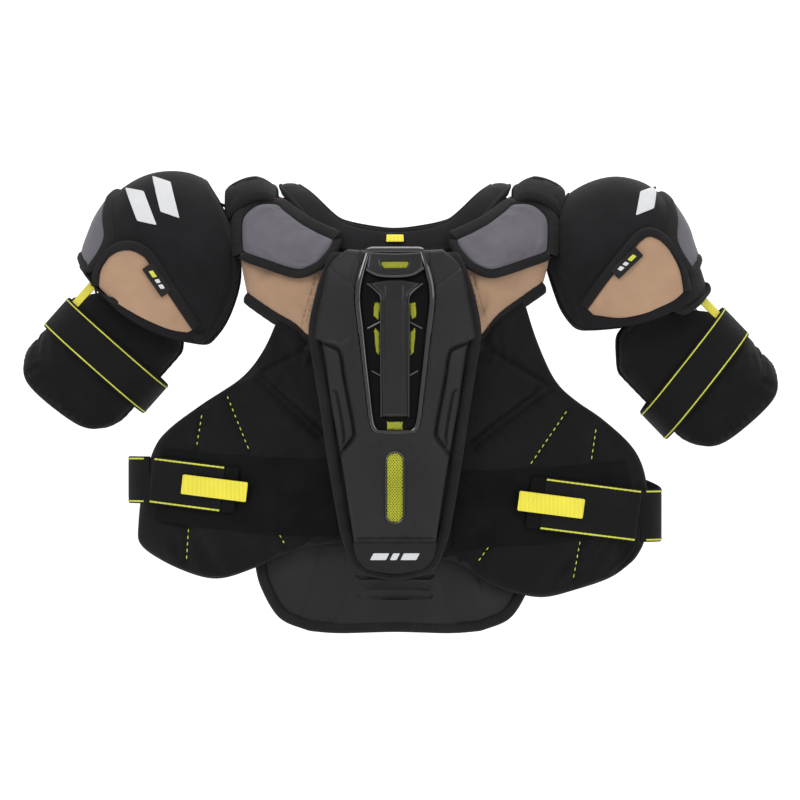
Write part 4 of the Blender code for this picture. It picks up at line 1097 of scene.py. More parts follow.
def net(name, form, outside, box, lift, pitch, node=None, strand=0.00062):
    """Open diagonal mesh: crossing strands, kept where outside() is below zero."""
    half, low, high = box
    verts, faces = [], []
    ring = np.linspace(0, 2 * pi, THREAD_SECTIONS, endpoint=False)
    reach = 2 * half + (high - low)
    for lean in (-1, 1):
        run = unit(np.array((1.0, lean * 1.25)))
        aside = left_of(run)
        count = int(reach / pitch) + 2
        for k in range(-count, count):
            centre = np.array((0.0, (low + high) / 2)) + aside * pitch * k
            t = np.arange(-reach, reach, 0.0009)
            pts = centre + t[:, None] * run
            keep = outside(pts[:, 0], pts[:, 1]) < 0
            if keep.sum() < 4:
                continue
            first, last = np.flatnonzero(keep)[[0, -1]]
            pts = pts[first:last + 1]
            over_under = 0.00025 * lean * np.sin(pi * t[first:last + 1] / pitch)
            base = len(verts)
            for p, rise in zip(pts, over_under):
                section = p + aside * (strand * np.cos(ring))[:, None]
                verts.extend(form(section[:, 0], section[:, 1],
                                  lift + rise + strand * 0.6 * np.sin(ring)).tolist())
            faces += tube_faces(base, len(pts), THREAD_SECTIONS)
    uv = np.asarray(verts)[:, [0, 2]]
    return make(name, verts, faces, MAT["mesh"], "sternum", "lime_mesh", [node] if node else (), uv,
                smooth_angle=None)


def flat_loop(name, loop, lift, half_w, half_h, mat, closed=True, **how):
    """A bar of rounded section that follows a closed or open line on the chest form."""
    line = evenly(loop, 0.0015, closed)
    run = unit(np.roll(line, -1, 0) - np.roll(line, 1, 0)) if closed else unit(np.gradient(line, axis=0))
    at, side, up = axes_on(chest, line, left_of(run), lift)
    return sweep(name, at, side, up, half_w, half_h, mat, power=2.6, closed=closed, **how)


BAR_EDGE = [(0.0285, -0.0730), (0.0200, -0.0800), (0.0142, -0.0880), (0.0142, -0.1100), (0.0138, -0.2120)]
BRIDGE_LIP = [(-0.0300, -0.0585), (-0.0180, -0.0645), (0.0, -0.0660), (0.0180, -0.0640), (0.0300, -0.0570)]
WINDOWS = [((0.0215, -0.0930), (0.0150, -0.0930), (0.0170, -0.1110), (0.0225, -0.1080)),
           ((0.0220, -0.1190), (0.0160, -0.1230), (0.0160, -0.1490), (0.0195, -0.1450))]


def bib_middle():
    """The glossy frame, its floor, the raised bar, the bridge, struts and the lime windows."""
    level = PLATE_LIFT
    half = unrolled(dense(RECESS, 0.0015), level)
    loop = np.vstack([half, half[::-1] * (-1, 1)])
    loop = soften(evenly(loop, 0.0015, True), 4)
    ring = loop * (0.93, 1.0)
    flat_loop("bib_frame", ring, FACE - 0.0022, 0.0034, 0.0028, MAT["gloss"], body="sternum",
              slot="gloss_plastic", stands_for=["sternum_insert"])
    inner = [(x * 0.90, z) for x, z in RECESS]
    inner[0] = (inner[0][0], -0.0400)
    inner[-1] = (inner[-1][0], -0.2270)
    grid = patch(both_ways(whole(inner[:1]), whole(inner[-1:]), inner, level), 0.0012, 2)

    def windows(g):
        ax = np.stack([np.abs(g[..., 0]), g[..., 1]], -1)
        sink = np.zeros(ax.shape[:2])
        for corners in WINDOWS:
            loop = soften(evenly(corners, 0.0008, True), 3)
            depth = near(ax, loop, True)
            sink = np.minimum(sink, np.where(inside(ax, loop), -0.0022 * smooth(depth, 0, 0.0010), 0))
        end = np.maximum(np.abs(g[..., 0]) - 0.0085, np.abs(g[..., 1] + 0.2210) - 0.0046)
        return np.minimum(sink, -0.0022 * (1 - smooth(end, -0.0010, 0.0)))

    pad("bib_floor", chest, grid, FLOOR_LIFT - 0.0005, 0.0050, MAT["deep"], "sternum", "hard_plastic",
        rim=(0.0008, 0.8), uneven=0.0, extra=windows)
    shades = []
    for number, corners in enumerate(WINDOWS):
        for sign in (-1, 1):
            loop = np.asarray([(sign * x, z) for x, z in corners])
            loop = soften(evenly(loop, 0.0008, True), 3)
            low, high = loop[:, 1].min(), loop[:, 1].max()
            shades.append(net(f"window_net_{number}_{'r' if sign < 0 else 'l'}", chest, outside_of(loop),
                              (0.024, low, high), FLOOR_LIFT + 0.0024, 0.0019, strand=0.00050))
    shades.append(net("window_net_end", chest,
                      lambda x, z: np.maximum(np.abs(x) - 0.0080, np.abs(z + 0.2210) - 0.0042),
                      (0.0080, -0.2252, -0.2168), FLOOR_LIFT + 0.0014, 0.0018, strand=0.00055))
    top_loop = [(-0.0155, -0.0500), (0.0150, -0.0500), (0.0130, -0.0572), (-0.0120, -0.0580)]
    top_loop = soften(evenly(top_loop, 0.0008, True), 3)
    top_loop = unrolled(top_loop, level)
    shades.append(net("window_net_top", chest, outside_of(top_loop),
                      (0.0160, top_loop[:, 1].min(), top_loop[:, 1].max()), FACE + 0.0002, 0.0020,
                      strand=0.00050))
    nets = merge("bib_window_nets", shades)
    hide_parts("sternum_vent_right", "sternum_vent_left")
    top = whole([(0.0, -0.0690), BAR_EDGE[0]])
    grid = patch(both_ways(top, whole(BAR_EDGE[-1:]), BAR_EDGE, level), 0.0010, 2)

    def bar_shape(g):
        ax, z = np.abs(g[..., 0]), g[..., 1]
        inset = dense([(x - 0.0030, z) for x, z in BAR_EDGE])
        side_line = near(np.stack([ax, z], -1), unrolled(inset, level))
        crease = 0.0006 * bump(ax - 0.0092, 0.0009) * (z < -0.075)
        return -0.0010 * bump(side_line, 0.0007) - crease + 0.0006 * smooth(-z, 0.075, 0.090)

    pad("bib_bar", chest, grid, FACE - 0.0025, 0.0078, MAT["satin"], "sternum", "hard_plastic",
        ["sternum_bar"], rim=(0.0028, 0.15), uneven=0.0, extra=bar_shape)
    for sign, side in ((-1, "right"), (1, "left")):
        edge = unrolled([(sign * (x + 0.0004), z) for x, z in dense(BAR_EDGE, 0.0015)], level)
        flat_loop(f"bib_bar_edge_{side}", edge, FACE - 0.0006, 0.0011, 0.0016, MAT["gloss"], closed=False,
                  body="sternum", slot="gloss_plastic")
        struts = []
        for a, b in (((0.0150, -0.1130), (0.0285, -0.1200)), ((0.0145, -0.1690), (0.0240, -0.1640))):
            line = unrolled([(sign * a[0], a[1]), (sign * b[0], b[1])], level)
            struts.append(flat_loop(f"bib_strut_{side}_{len(struts)}", line, FLOOR_LIFT + 0.0030, 0.0012,
                                    0.0016, MAT["gloss"], closed=False))
        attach(merge(f"bib_struts_{side}", struts), "sternum")
    top = whole([(0.0, -0.0415), (0.0275, -0.0405)])
    sides = [unrolled(s, level) for s in between(top, BRIDGE_LIP)]
    grid = patch(sides, 0.0010, 2)

    def bridge_shape(g):
        depth = near(g, top_loop, True)
        return np.where(inside(g, top_loop), -0.0028 * smooth(depth, 0, 0.0010), 0.0006 * bump(depth, 0.0010))

    pad("bib_bridge", chest, grid, FACE - 0.0015, 0.0060, MAT["satin"], "sternum", "gloss_plastic",
        rim=(0.0022, 0.2), uneven=0.0, extra=bridge_shape)
    flat_loop("bib_bridge_lip", unrolled(dense(BRIDGE_LIP, 0.0015), level), FACE + 0.0002, 0.0014, 0.0018,
              MAT["gloss"], closed=False, body="sternum", slot="gloss_plastic")


def end_patch():
    """The plain fabric patch at the guard's lower end, with three plain raised bars."""
    edge = [(0.0435, -0.3420), (0.0400, -0.3580), (0.0300, -0.3700)]
    grid = patch(both_ways(whole(edge[:1]), whole([(0.0, -0.3745), edge[-1]]), edge), 0.0014, 4)
    pad("bib_end_patch", chest, grid, FACE - 0.0030, 0.0040, MAT["label"], "sternum", "black_fabric",
        rim=(0.0030, 0.3), uneven=0.0002,
        extra=lambda g: -0.0006 * bump(near(g, border_of(g), True) - 0.003, 0.0008))
    stripes, lean = [], 0.0018
    for x0, x1 in ((-0.0240, -0.0075), (-0.0035, 0.0035), (0.0075, 0.0240)):
        top = [(x0 + lean, -0.3535), (x1 + lean, -0.3535)]
        low = [(x0 - lean, -0.3605), (x1 - lean, -0.3605)]
        grid = patch(between(top, low), 0.0009, 1)
        stripes.append(pad(f"bib_end_stripe_{len(stripes)}", chest, grid, FACE - 0.0007, 0.0006,
                           MAT["print"], rim=(0.0006, 0.4), uneven=0.0))
    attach(merge("bib_end_stripes", stripes), "sternum")


# ---------------------------------------------------------------- belly and clavicle pads
def belly():
    side = [(0.150, -0.345), (0.1465, -0.370), (0.1400, -0.393), (0.1210, -0.423), (0.0900, -0.436)]
    low = whole([(0.0, -0.4365), (0.058, -0.438), side[-1]])
    grid = patch(both_ways(whole([(0.0, -0.335), side[0]]), low, side), 0.0018, 6)

    def relief(g):
        x, z = g[..., 0], g[..., 1]
        rise = np.zeros(x.shape)
        for high in (-0.3780, -0.3985):
            slot = np.hypot(x - np.clip(x, -0.036, 0.036), z - high) - 0.0045
            rise += 0.0012 * bump(slot, 0.0012) - 0.0010 * (1 - smooth(slot, -0.0015, 0.0005))
        lean = (np.abs(x) - 0.0480) + (z + 0.395) * 0.45
        rise -= 0.0016 * smooth(lean, 0.0, 0.0020)
        rise -= 0.0012 * smooth(np.abs(x) - 0.090 + (z + 0.395) * 0.3, 0.0, 0.0020)
        return rise

    obj = pad("belly_foam", chest, grid, BELLY_LIFT, BELLY_T, MAT["foam"], "belly", "moulded_foam",
              ["belly_pad"], rim=(0.008, 0.5), uneven=0.0004, extra=relief, seed=9)
    x = np.abs(grid[..., 0]).ravel()
    mask = ((x > 0.050) & (x < 0.086)) * 1.0
    paint_grain(obj, np.concatenate([mask, mask * 0]))
    binding("belly_binding", chest, border_of(grid), BELLY_LIFT + 0.0006, 0.0064, "belly", width=0.0120)


CLAVICLE_TOP = [(0.0640, -0.0270), (0.0813, -0.0190), (0.0998, -0.0085), (0.1166, 0.0045), (0.1240, 0.0120)]
CLAVICLE_LOW = [(0.0800, -0.0500), (0.0969, -0.0580), (0.1113, -0.0560), (0.1355, -0.0475),
                (0.1600, -0.0390)]
CLAVICLE_IN = [CLAVICLE_TOP[0], (0.0690, -0.0370), CLAVICLE_LOW[0]]
CLAVICLE_OUT = [CLAVICLE_TOP[-1], (0.1428, 0.0120), (0.1560, 0.0030), (0.1610, -0.0080), CLAVICLE_LOW[-1]]


def clavicles():
    for side, setting in SIDES.items():
        sign = setting["sign"]
        outline = (CLAVICLE_TOP, CLAVICLE_LOW, CLAVICLE_IN, CLAVICLE_OUT)
        grid = patch([unrolled(s, CLAVICLE_LIFT) for s in outline], 0.0022, 6)
        grid[..., 0] *= sign
        pad(f"clavicle_{side}", chest, grid, CLAVICLE_LIFT, CLAVICLE_T, MAT["grey"], f"clavicle_{side}",
            "grey_fabric", [f"clavicle_pad_{side}"], rim=(0.012, 0.30), puff=0.0026, slack=0.05,
            uneven=0.0004, seed=41 + sign)
        edge = np.vstack([grid[:, 0], grid[-1, 1:]])
        if sign < 0:
            edge = edge[::-1]
        binding(f"clavicle_binding_{side}", chest, edge[::-1], CLAVICLE_LIFT, 0.0052, f"clavicle_{side}",
                width=0.0100, closed=False)
        edge = np.vstack([grid[0], grid[1:, -1]])
        binding(f"clavicle_roll_{side}", chest, edge if sign > 0 else edge[::-1], CLAVICLE_LIFT - 0.0010,
                0.0056, "chest", width=0.0145, shift=0.46, closed=False)


# ---------------------------------------------------------------- straps on the chest
STRAP = {
    "right": dict(outer=(0.258, -0.279), inner=(0.181, -0.288), half=0.0250),
    "left": dict(outer=(0.258, -0.317), inner=(0.155, -0.303), half=0.0280),
}


def strip(sign, outer, inner, start, stop, half):
    """The outline of a strap's stretch between two distances in from its outer end."""
    a, b = np.array(outer), np.array(inner)
    run = unit(b - a)
    rise = left_of(run)
    rise = -rise if rise[1] < 0 else rise
    ends = [a + run * start, a + run * stop]
    top = [ends[1] + rise * half, ends[0] + rise * half]
    low = [ends[1] - rise * half, ends[0] - rise * half]
    return [[(sign * p[0], p[1]) for p in side] for side in between(top, low)]


def front_straps():
    for side, setting in SIDES.items():
        sign, shape = setting["sign"], STRAP[side]
        outer, inner, half = shape["outer"], shape["inner"], shape["half"]
        length = float(np.linalg.norm(np.subtract(inner, outer)))
        body = f"strap_{side}"
        grid = patch(strip(sign, outer, inner, 0.0, length, half), 0.0020, 1)
        pad(f"strap_front_{side}", chest, grid, STRAP_LIFT, STRAP_T, MAT["elastic"], body, "elastic",
            [f"chest_strap_{side}"], rim=(0.0015, 0.5), uneven=0.0004, seed=51 + sign)
        lines = []
        for edge in (-1, 1):
            a, b = np.array(outer), np.array(inner)
            run = unit(b - a)
            rise = left_of(run)
            offset = rise * edge * (half - 0.0024)
            line = [(a + run * d + offset) * (sign, 1) for d in (0.001, length - 0.001)]
            lines.append(thread(f"strap_line_{side}_{edge + 1}", chest, line,
                                STRAP_LIFT + STRAP_T / 2 + 0.0002, 0.0009))
        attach(merge(f"strap_lines_{side}", lines), body)
        grid = patch(strip(sign, outer, inner, length + 0.0006, length + 0.0150, half * 0.96), 0.0016, 3)
        pad(f"strap_hook_{side}", chest, grid, STRAP_LIFT, STRAP_T, MAT["pile"], body, "loop_pile",
            [f"hook_tab_{side}"], rim=(0.002, 0.5), uneven=0.0002,
            extra=lambda g: 0.0003 * ripple(g, 0.003, 78))
        grid = patch(strip(sign, outer, inner, length - 0.044, length + 0.026, 0.0104), 0.0011, 2)
        flat = np.array(outer) * (sign, 1)
        run = unit((np.array(inner) - np.array(outer)) * (sign, 1))

        def ribs(g):
            along = (g - flat) @ run
            across = (g - flat) @ np.array((-run[1], run[0]))
            slant = along + across * 0.35 * (1 if run[0] > 0 else -1)
            rise = np.zeros(along.shape)
            for k in range(3):
                rise += 0.0010 * bump(slant - (length + 0.0085 + 0.0048 * k), 0.0013)
            frame_in = near(g, border_of(g), True)
            field = (smooth(along, length - 0.040, length - 0.038)
                     * (1 - smooth(along, length, length + 0.002)))
            return rise - 0.0004 * field * smooth(frame_in, 0.0020, 0.0030)

        pad(f"strap_pull_{side}", chest, grid, PULL_LIFT, PULL_T, MAT["yellow"], body, "yellow_webbing",
            [f"pull_tab_{side}"], rim=(0.0015, 0.4), uneven=0.0002, extra=ribs)


def thread(name, form, line, lift, radius):
    """A thin raised line woven along a strap."""
    pts = evenly(line, 0.002)
    at, side, up = axes_on(form, pts, left_of(unit(np.gradient(pts, axis=0))), lift)
    knots = 1 + 0.18 * np.sin(np.arange(len(pts)) * 2.4)
    return sweep(name, at, side, up, radius * knots, radius * 0.7, MAT["thread"], power=2.0, closed=False,
                 sections=8)


# ---------------------------------------------------------------- back half
BACK_SEAMS = [[(0.040, -0.070), (0.044, -0.200), (0.040, -0.320)], [(0.060, -0.245), (0.185, -0.225)],
              [(0.060, -0.275), (0.185, -0.262)], [(0.124, -0.100), (0.145, -0.235)]]


def back_half():
    edge = [(0.120, -0.060), (0.118, -0.110), (0.140, -0.170), (0.185, -0.215), (0.200, -0.270),
            (0.180, -0.310)]
    top = whole([(0.0, -0.050), (0.060, -0.052), edge[0]])
    low = whole([(0.0, -0.335), (0.110, -0.330), edge[-1]])
    grid = patch(both_ways(top, low, edge, WING_LIFT), 0.0034, 6)
    seams = []
    for sign in (-1, 1):
        beside, upper, lower, rib = [mirror(line, sign) for line in BACK_SEAMS]
        seams += sewn([beside], 0.0024, 0.0026) + sewn([upper, lower], 0.0022, 0.0024) + sewn([rib])
    pad("back_pad", back, grid, WING_LIFT, WING_T, MAT["black"], "back", "black_fabric", ["back_panel"],
        rim=(0.010, 0.42), seams=seams, puff=0.0035, slack=0.04, uneven=0.0006, seed=61)
    binding("back_binding", back, border_of(grid), WING_LIFT, 0.0046, "back")
    for side, setting in SIDES.items():
        sign = setting["sign"]
        inner = [(0.045, -0.075), (0.042, -0.150), (0.050, -0.225)]
        outer = [(0.108, -0.078), (0.112, -0.150), (0.135, -0.225)]
        lift = WING_LIFT + 0.012
        sides = [unrolled(s, lift) for s in ([inner[0], outer[0]], [inner[-1], outer[-1]], inner, outer)]
        grid = patch(sides, 0.0026, 8)
        grid[..., 0] *= sign
        seams = sewn([[(sign * 0.045, -0.128), (sign * 0.112, -0.112)],
                      [(sign * 0.045, -0.176), (sign * 0.120, -0.166)]])
        pad(f"scapula_{side}", back, grid, lift, 0.010, MAT["grey"], "back", "grey_fabric",
            [f"scapula_pad_{side}"], rim=(0.009, 0.4), seams=seams, puff=0.0030, slack=0.05,
            uneven=0.0004, seed=65 + sign)
        binding(f"scapula_binding_{side}", back, border_of(grid), lift, 0.0044, "back", width=0.0085)
    edge = [(0.030, -0.080), (0.034, -0.140), (0.030, -0.230), (0.024, -0.300)]
    lift = WING_LIFT + 0.0140
    grid = patch(both_ways(whole(edge[:1]), whole(edge[-1:]), edge, lift), 0.0024, 6)
    pad("spine_foam", back, grid, lift, 0.011, MAT["black"], "back", "black_fabric", ["spine_pad"],
        rim=(0.008, 0.45), puff=0.0015, uneven=0.0003, seed=68)
    binding("spine_binding", back, border_of(grid), lift, 0.0050, "back", width=0.0085)
    spine = [(0.0215, -0.082), (0.0235, -0.130), (0.0215, -0.210), (0.0170, -0.283)]
    lift = WING_LIFT + 0.0140 + 0.0055 + 0.0012 + 0.0050
    grid = patch(both_ways(whole(spine[:1]), whole(spine[-1:]), spine, lift), 0.0012, 5)

    def vertebrae(g):
        x, z = g[..., 0], g[..., 1]
        arch = z - 0.35 * np.abs(x)
        cut = np.zeros(x.shape)
        for k in range(6):
            cut = np.maximum(cut, bump(arch - (-0.108 - 0.0285 * k), 0.0017))
        centre = bump(x, 0.0016) * 0.0010
        return -0.0030 * cut * smooth(near(g, border_of(g), True), 0.002, 0.005) - centre

    obj = pad("spine_guard_plate", back, grid, lift, 0.0100, MAT["foam"], "back", "moulded_foam",
              ["spine_plate"], rim=(0.0045, 0.3), uneven=0.0, extra=vertebrae)
    paint_grain(obj, np.full(len(obj.data.vertices), 0.6))
    side_line = [(0.110, -0.337), (0.105, -0.375), (0.085, -0.400)]
    top, low = whole([(0.0, -0.342), side_line[0]]), whole([(0.0, -0.405), side_line[-1]])
    grid = patch(both_ways(top, low, side_line), 0.0028, 6)
    seams = sewn([[(s * 0.036, -0.345), (s * 0.036, -0.398)] for s in (-1, 1)], 0.0022, 0.0024)
    pad("kidney_flap", back, grid, WING_LIFT, WING_T, MAT["black"], "kidney", "black_fabric",
        ["kidney_pad"], rim=(0.009, 0.42), seams=seams, puff=0.0030, slack=0.04, uneven=0.0005, seed=71)
    binding("kidney_binding", back, border_of(grid), WING_LIFT, 0.0046, "kidney")
    join, hem = [(0.0, -0.3385), (0.100, -0.3330)], [(0.0, -0.3500), (0.098, -0.3445)]
    grid = patch(between(whole(join), whole(hem)), 0.0022, 0)
    web = pad("kidney_web", back, grid, WING_LIFT - 0.0045, 0.0016, MAT["elastic"], None, "black_fabric",
              rim=(0.001, 0.6), uneven=0.0002)
    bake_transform(web)


def arch_form(x, t, lift):
    """The bend of the small pads over each shoulder; t is the length along it, plus to the rear."""
    angle = t / ARCH_RADIUS
    radius = SHOULDER_Z + lift - DOME_Z
    aside = (np.abs(x) - 0.1480) / ARCH_HALF
    crown = 0.0050 - np.where(aside > 0, 0.0066, 0.0110) * aside ** 2
    radius = radius + crown
    depth = abs(CHEST_Y) - CURVE_HIGH * x * x + lift + crown
    return np.stack([x, depth * np.sin(angle), DOME_Z + radius * np.cos(angle)], -1)


def arches():
    rear = ARCH_REAR * ARCH_RADIUS
    for side, setting in SIDES.items():
        sign = setting["sign"]

        def width(t):
            return ARCH_HALF * (0.85 + 0.15 * cos(t / ARCH_RADIUS))

        inner = [(0.1490 - width(t), t) for t in np.linspace(radians(-31) * ARCH_RADIUS, rear, 7)]
        outer = [(0.1570 + width(t), t) for t in np.linspace(radians(-47) * ARCH_RADIUS, rear, 7)]
        lip = [inner[0], (0.1460, radians(-33) * ARCH_RADIUS), (0.1650, radians(-39) * ARCH_RADIUS),
               outer[0]]
        grid = patch([lip, [inner[-1], outer[-1]], inner, outer], 0.0022, 7)
        grid[..., 0] *= sign
        seams = sewn([[(sign * 0.120, t), (sign * 0.170, t)] for t in (-0.022, 0.026)])
        pad(f"arch_{side}", arch_form, grid, ARCH_LIFT, ARCH_T, MAT["black"], "back", "black_fabric",
            [f"arch_pad_{side}"], rim=(0.008, 0.4), seams=seams, puff=0.0026, slack=0.05,
            uneven=0.0003, seed=81 + sign)
        binding(f"arch_binding_{side}", arch_form, border_of(grid), ARCH_LIFT, 0.0040, "back", width=0.0080)


def ribbon(name, points, wide, width, thickness, mat, **how):
    """A flat strap along points in space; wide is the direction of its width at each point."""
    forward = unit(np.gradient(points, axis=0))
    side = unit(wide - (wide * forward).sum(1)[:, None] * forward)
    up = np.cross(forward, side)
    return sweep(name, points, side, up, width / 2, thickness / 2, mat, power=6.0, closed=False,
                 sections=20, **how)


def rear_straps():
    for side, setting in SIDES.items():
        sign = setting["sign"]
        outer, half = STRAP[side]["outer"], STRAP[side]["half"]
        path = [(0.160, 0.079), (0.172, 0.0785), (0.215, 0.072), (0.258, 0.050), (0.280, 0.018),
                (0.2825, -0.012), (0.2740, -0.0300), (0.2600, -0.0410)]
        t = np.linspace(0, 1, 60)
        flat = spline(path, t)
        height = -0.285 + (outer[1] + 0.285) * smooth(t, 0.0, 0.85)
        points = np.stack([sign * flat[:, 0], flat[:, 1], height], -1)
        wide = np.tile((0.0, 0.0, 1.0), (len(t), 1))
        strap = ribbon(f"strap_rear_{side}", points, wide, 2 * half, STRAP_T, MAT["elastic"],
                       slot="elastic", stands_for=[f"rear_strap_{side}"])
        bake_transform(strap)
        forward = unit(np.gradient(points, axis=0))
        out = np.cross(forward, wide) * (1 if np.cross(forward, wide)[30, 0] * sign > 0 else -1)
        lines = []
        for edge in (-1, 1):
            along = points[3:-2] + out[3:-2] * (STRAP_T / 2 + 0.0001) + wide[3:-2] * edge * (half - 0.0024)
            lines.append(sweep(f"rear_line_{side}_{edge + 1}", along, wide[3:-2], out[3:-2], 0.0009, 0.0006,
                               MAT["thread"], power=2.0, closed=False, sections=8))
        both = merge(f"strap_rear_lines_{side}", lines)
        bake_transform(both)
        root = patch(between([(0.152, -0.258), (0.180, -0.258)], [(0.152, -0.312), (0.178, -0.312)]),
                     0.002, 3)
        root[..., 0] *= sign
        pad(f"strap_anchor_{side}", back, root, WING_LIFT - 0.0075, 0.0024, MAT["pile"], "back",
            "loop_pile", rim=(0.002, 0.5), uneven=0.0003)


# ---------------------------------------------------------------- shoulder caps
def hem_depth(setting, s):
    """How far down the cap's hem lies at a distance s outwards from its centre."""
    lowest, middle, curve = setting["hem"]
    return lowest - curve * (s - middle) ** 2


def neck_edge(setting, d):
    """How far the cap reaches towards the neck at a distance d below its centre."""
    reach, upper, lower, curve = setting["neck"]
    return reach + curve * (np.minimum(0, d - upper) + np.maximum(0, d - lower)) ** 2


def dome_points(setting, cuts):
    """A cap's dome as a mesh of even squares, open at its hem and on its neck side."""
    bm = bmesh.new()
    bmesh.ops.create_cube(bm, size=2.0)
    bmesh.ops.subdivide_edges(bm, edges=bm.edges[:], cuts=cuts, use_grid_fill=True)
    raw = unit(np.tan(np.array([v.co for v in bm.verts]) * pi / 4))
    faces = np.array([[v.index for v in f.verts] for f in bm.faces])
    bm.free()
    level = raw[:, 2]
    flat = np.maximum(np.hypot(raw[:, 0], raw[:, 1]), 1e-9)
    c, k = raw[:, 1] / flat, raw[:, 0] / flat
    size = squared(c, k, CAP_POWER)
    half_s = np.where(raw[:, 0] < 0, setting["half_in"], setting["half_out"])
    ring = np.where(level > 0, np.sqrt(np.clip(1 - level ** 2, 0, 1)), 1.0)
    s, y = half_s * k * size * ring, CAP_RY * c * size * ring
    d = np.where(level > 0, -setting["crown"] * level, 0.15 * np.arcsin(np.clip(-level, 0, 1)) / (pi / 2))
    keep = (d < hem_depth(setting, s)) & (s > neck_edge(setting, d))
    faces = faces[keep[faces].all(1)]
    used = np.unique(faces)
    fresh = np.full(len(raw), -1)
    fresh[used] = np.arange(len(used))
    return np.stack([s, y, d], -1)[used], fresh[faces]


def open_border(faces):
    """The longest closed line of edges that only one face uses, as vertex indices in order."""
    a, b = faces.ravel(), np.roll(faces, -1, 1).ravel()
    pairs = set(zip(a.tolist(), b.tolist()))
    follow = {p[0]: p[1] for p in pairs if (p[1], p[0]) not in pairs}
    best = []
    while follow:
        start, line = next(iter(follow)), []
        at = start
        while at in follow:
            line.append(at)
            at = follow.pop(at)
        if len(line) > len(best):
            best = line
    return np.array(best)


def vertex_normals(points, faces):
    """Unit normals at the points of a mesh of four-sided faces."""
    across = points[faces[:, 2]] - points[faces[:, 0]]
    other = points[faces[:, 3]] - points[faces[:, 1]]
    normal = np.cross(across, other)
    total = np.zeros(points.shape)
    for k in range(4):
        np.add.at(total, faces[:, k], normal)
    return unit(total)


def cap_cover(side, setting):
    flat, faces = dome_points(setting, 70)
    rim = open_border(faces)
    flat[rim] = soften(flat[rim], 24)
    points = cap_place(setting, flat[:, 0], flat[:, 1], flat[:, 2])
    normal = vertex_normals(points, faces)
    centre = cap_centre(setting)
    if ((points - centre) * normal).sum(1).mean() < 0:
        faces, rim, normal = faces[:, ::-1], rim[::-1], -normal
    plane = np.stack([flat[:, 0] * 0.9 + flat[:, 1] * 0.75, flat[:, 2] + 0.5 * (flat[:, 0] - flat[:, 1])], -1)
    to_rim = np.full(len(points), 1.0)
    for p in points[rim[::3]]:
        to_rim = np.minimum(to_rim, np.linalg.norm(points - p, axis=1))
    wave = ripple(plane, 0.060, 90 + setting["sign"]) * 0.0006 * np.clip(to_rim / 0.02, 0, 1)
    outer = points + normal * wave[:, None]
    inner = points - normal * (COVER_T * rim_profile(to_rim, 0.008, 0.6))[:, None]
    count = len(points)
    nxt = np.roll(rim, -1)
    walls = np.stack([nxt, rim, rim + count, nxt + count], -1)
    edges = set(zip(faces.ravel().tolist(), np.roll(faces, -1, 1).ravel().tolist()))
    if (int(rim[0]), int(nxt[0])) not in edges:
        walls = walls[:, ::-1]
    allfaces = np.vstack([faces, faces[:, ::-1] + count, walls])
    uv = np.vstack([plane, plane])
    obj = make(f"cap_cover_{side}_fabric", np.vstack([outer, inner]), allfaces, MAT["black"],
               f"cap_{side}", "black_fabric", [f"cap_cover_{side}"], uv)
    line = evenly(points[rim], 0.0028, True)
    mid = evenly((points - normal * COVER_T / 2)[rim], 0.0028, True)[:len(line)]
    line = line[:len(mid)]
    line, mid = soften(line, 12), soften(mid, 12)
    run = unit(np.roll(mid, -1, 0) - np.roll(mid, 1, 0))
    up = unit(line - mid)
    inward = unit(np.cross(up, run))
    if ((centre - mid) * inward).sum(1).mean() < 0:
        inward = -inward
    sweep(f"cap_binding_{side}", mid + inward * 0.0044, inward, up, 0.0058, 0.0060, MAT["binding"],
          body=f"cap_{side}", slot="black_fabric")


TAN = {
    "right": dict(top=[(-0.0560, 0.0625), (-0.0200, 0.0345), (0.0114, 0.0095), (0.0218, 0.0050),
                       (0.0331, 0.0044), (0.0446, 0.0096), (0.0525, 0.0190)],
                  outer=[(0.0525, 0.0190), (0.0560, 0.0350), (0.0525, 0.0520)],
                  low=[(-0.0520, 0.0670), (-0.0348, 0.0700), (-0.0118, 0.0690), (0.0115, 0.0655),
                       (0.0358, 0.0595), (0.0525, 0.0520)]),
    "left": dict(top=[(-0.0540, 0.0400), (-0.0230, 0.0180), (0.0123, -0.0042), (0.0230, -0.0100),
                      (0.0330, -0.0110), (0.0420, -0.0030), (0.0480, 0.0090)],
                 outer=[(0.0480, 0.0090), (0.0515, 0.0320), (0.0480, 0.0560)],
                 low=[(-0.0500, 0.0480), (-0.0253, 0.0600), (0.0000, 0.0640), (0.0186, 0.0630),
                      (0.0350, 0.0610), (0.0480, 0.0560)]),
}
GREY = dict(top=[(-0.0050, -0.0500), (0.0250, -0.0500)],
            front=[(-0.0050, -0.0500), (-0.0450, -0.0360), (-0.0740, -0.0110), (-0.0800, 0.0040),
                   (-0.0770, 0.0240), (-0.0700, 0.0400)],
            rear=[(0.0250, -0.0500), (0.0550, -0.0320), (0.0680, -0.0020), (0.0700, 0.0250),
                  (0.0660, 0.0400)],
            low=[(-0.0700, 0.0400), (-0.0300, 0.0290), (0.0250, 0.0290), (0.0660, 0.0400)])
TAG = {"right": ((-0.0041, 0.0253), (-0.80, 0.59)), "left": ((0.0003, 0.0079), (-0.908, 0.418))}
MARK = {"right": [((0.0520, -0.0580), (0.0260, -0.0280)), ((0.0290, -0.0780), (0.0060, -0.0440))],
        "left": [((0.0510, -0.0600), (0.0370, -0.0370))]}


def lozenge(middle, run, half_long, half_wide, lean=0.0):
    """A small slanted four-sided outline about its middle."""
    middle, run = np.array(middle), unit(np.array(run))
    over_run, rise = run * half_long, left_of(run) * half_wide
    top = [middle - over_run + rise + run * lean, middle + over_run + rise + run * lean]
    low = [middle - over_run - rise - run * lean, middle + over_run - rise - run * lean]
    return between(top, low)


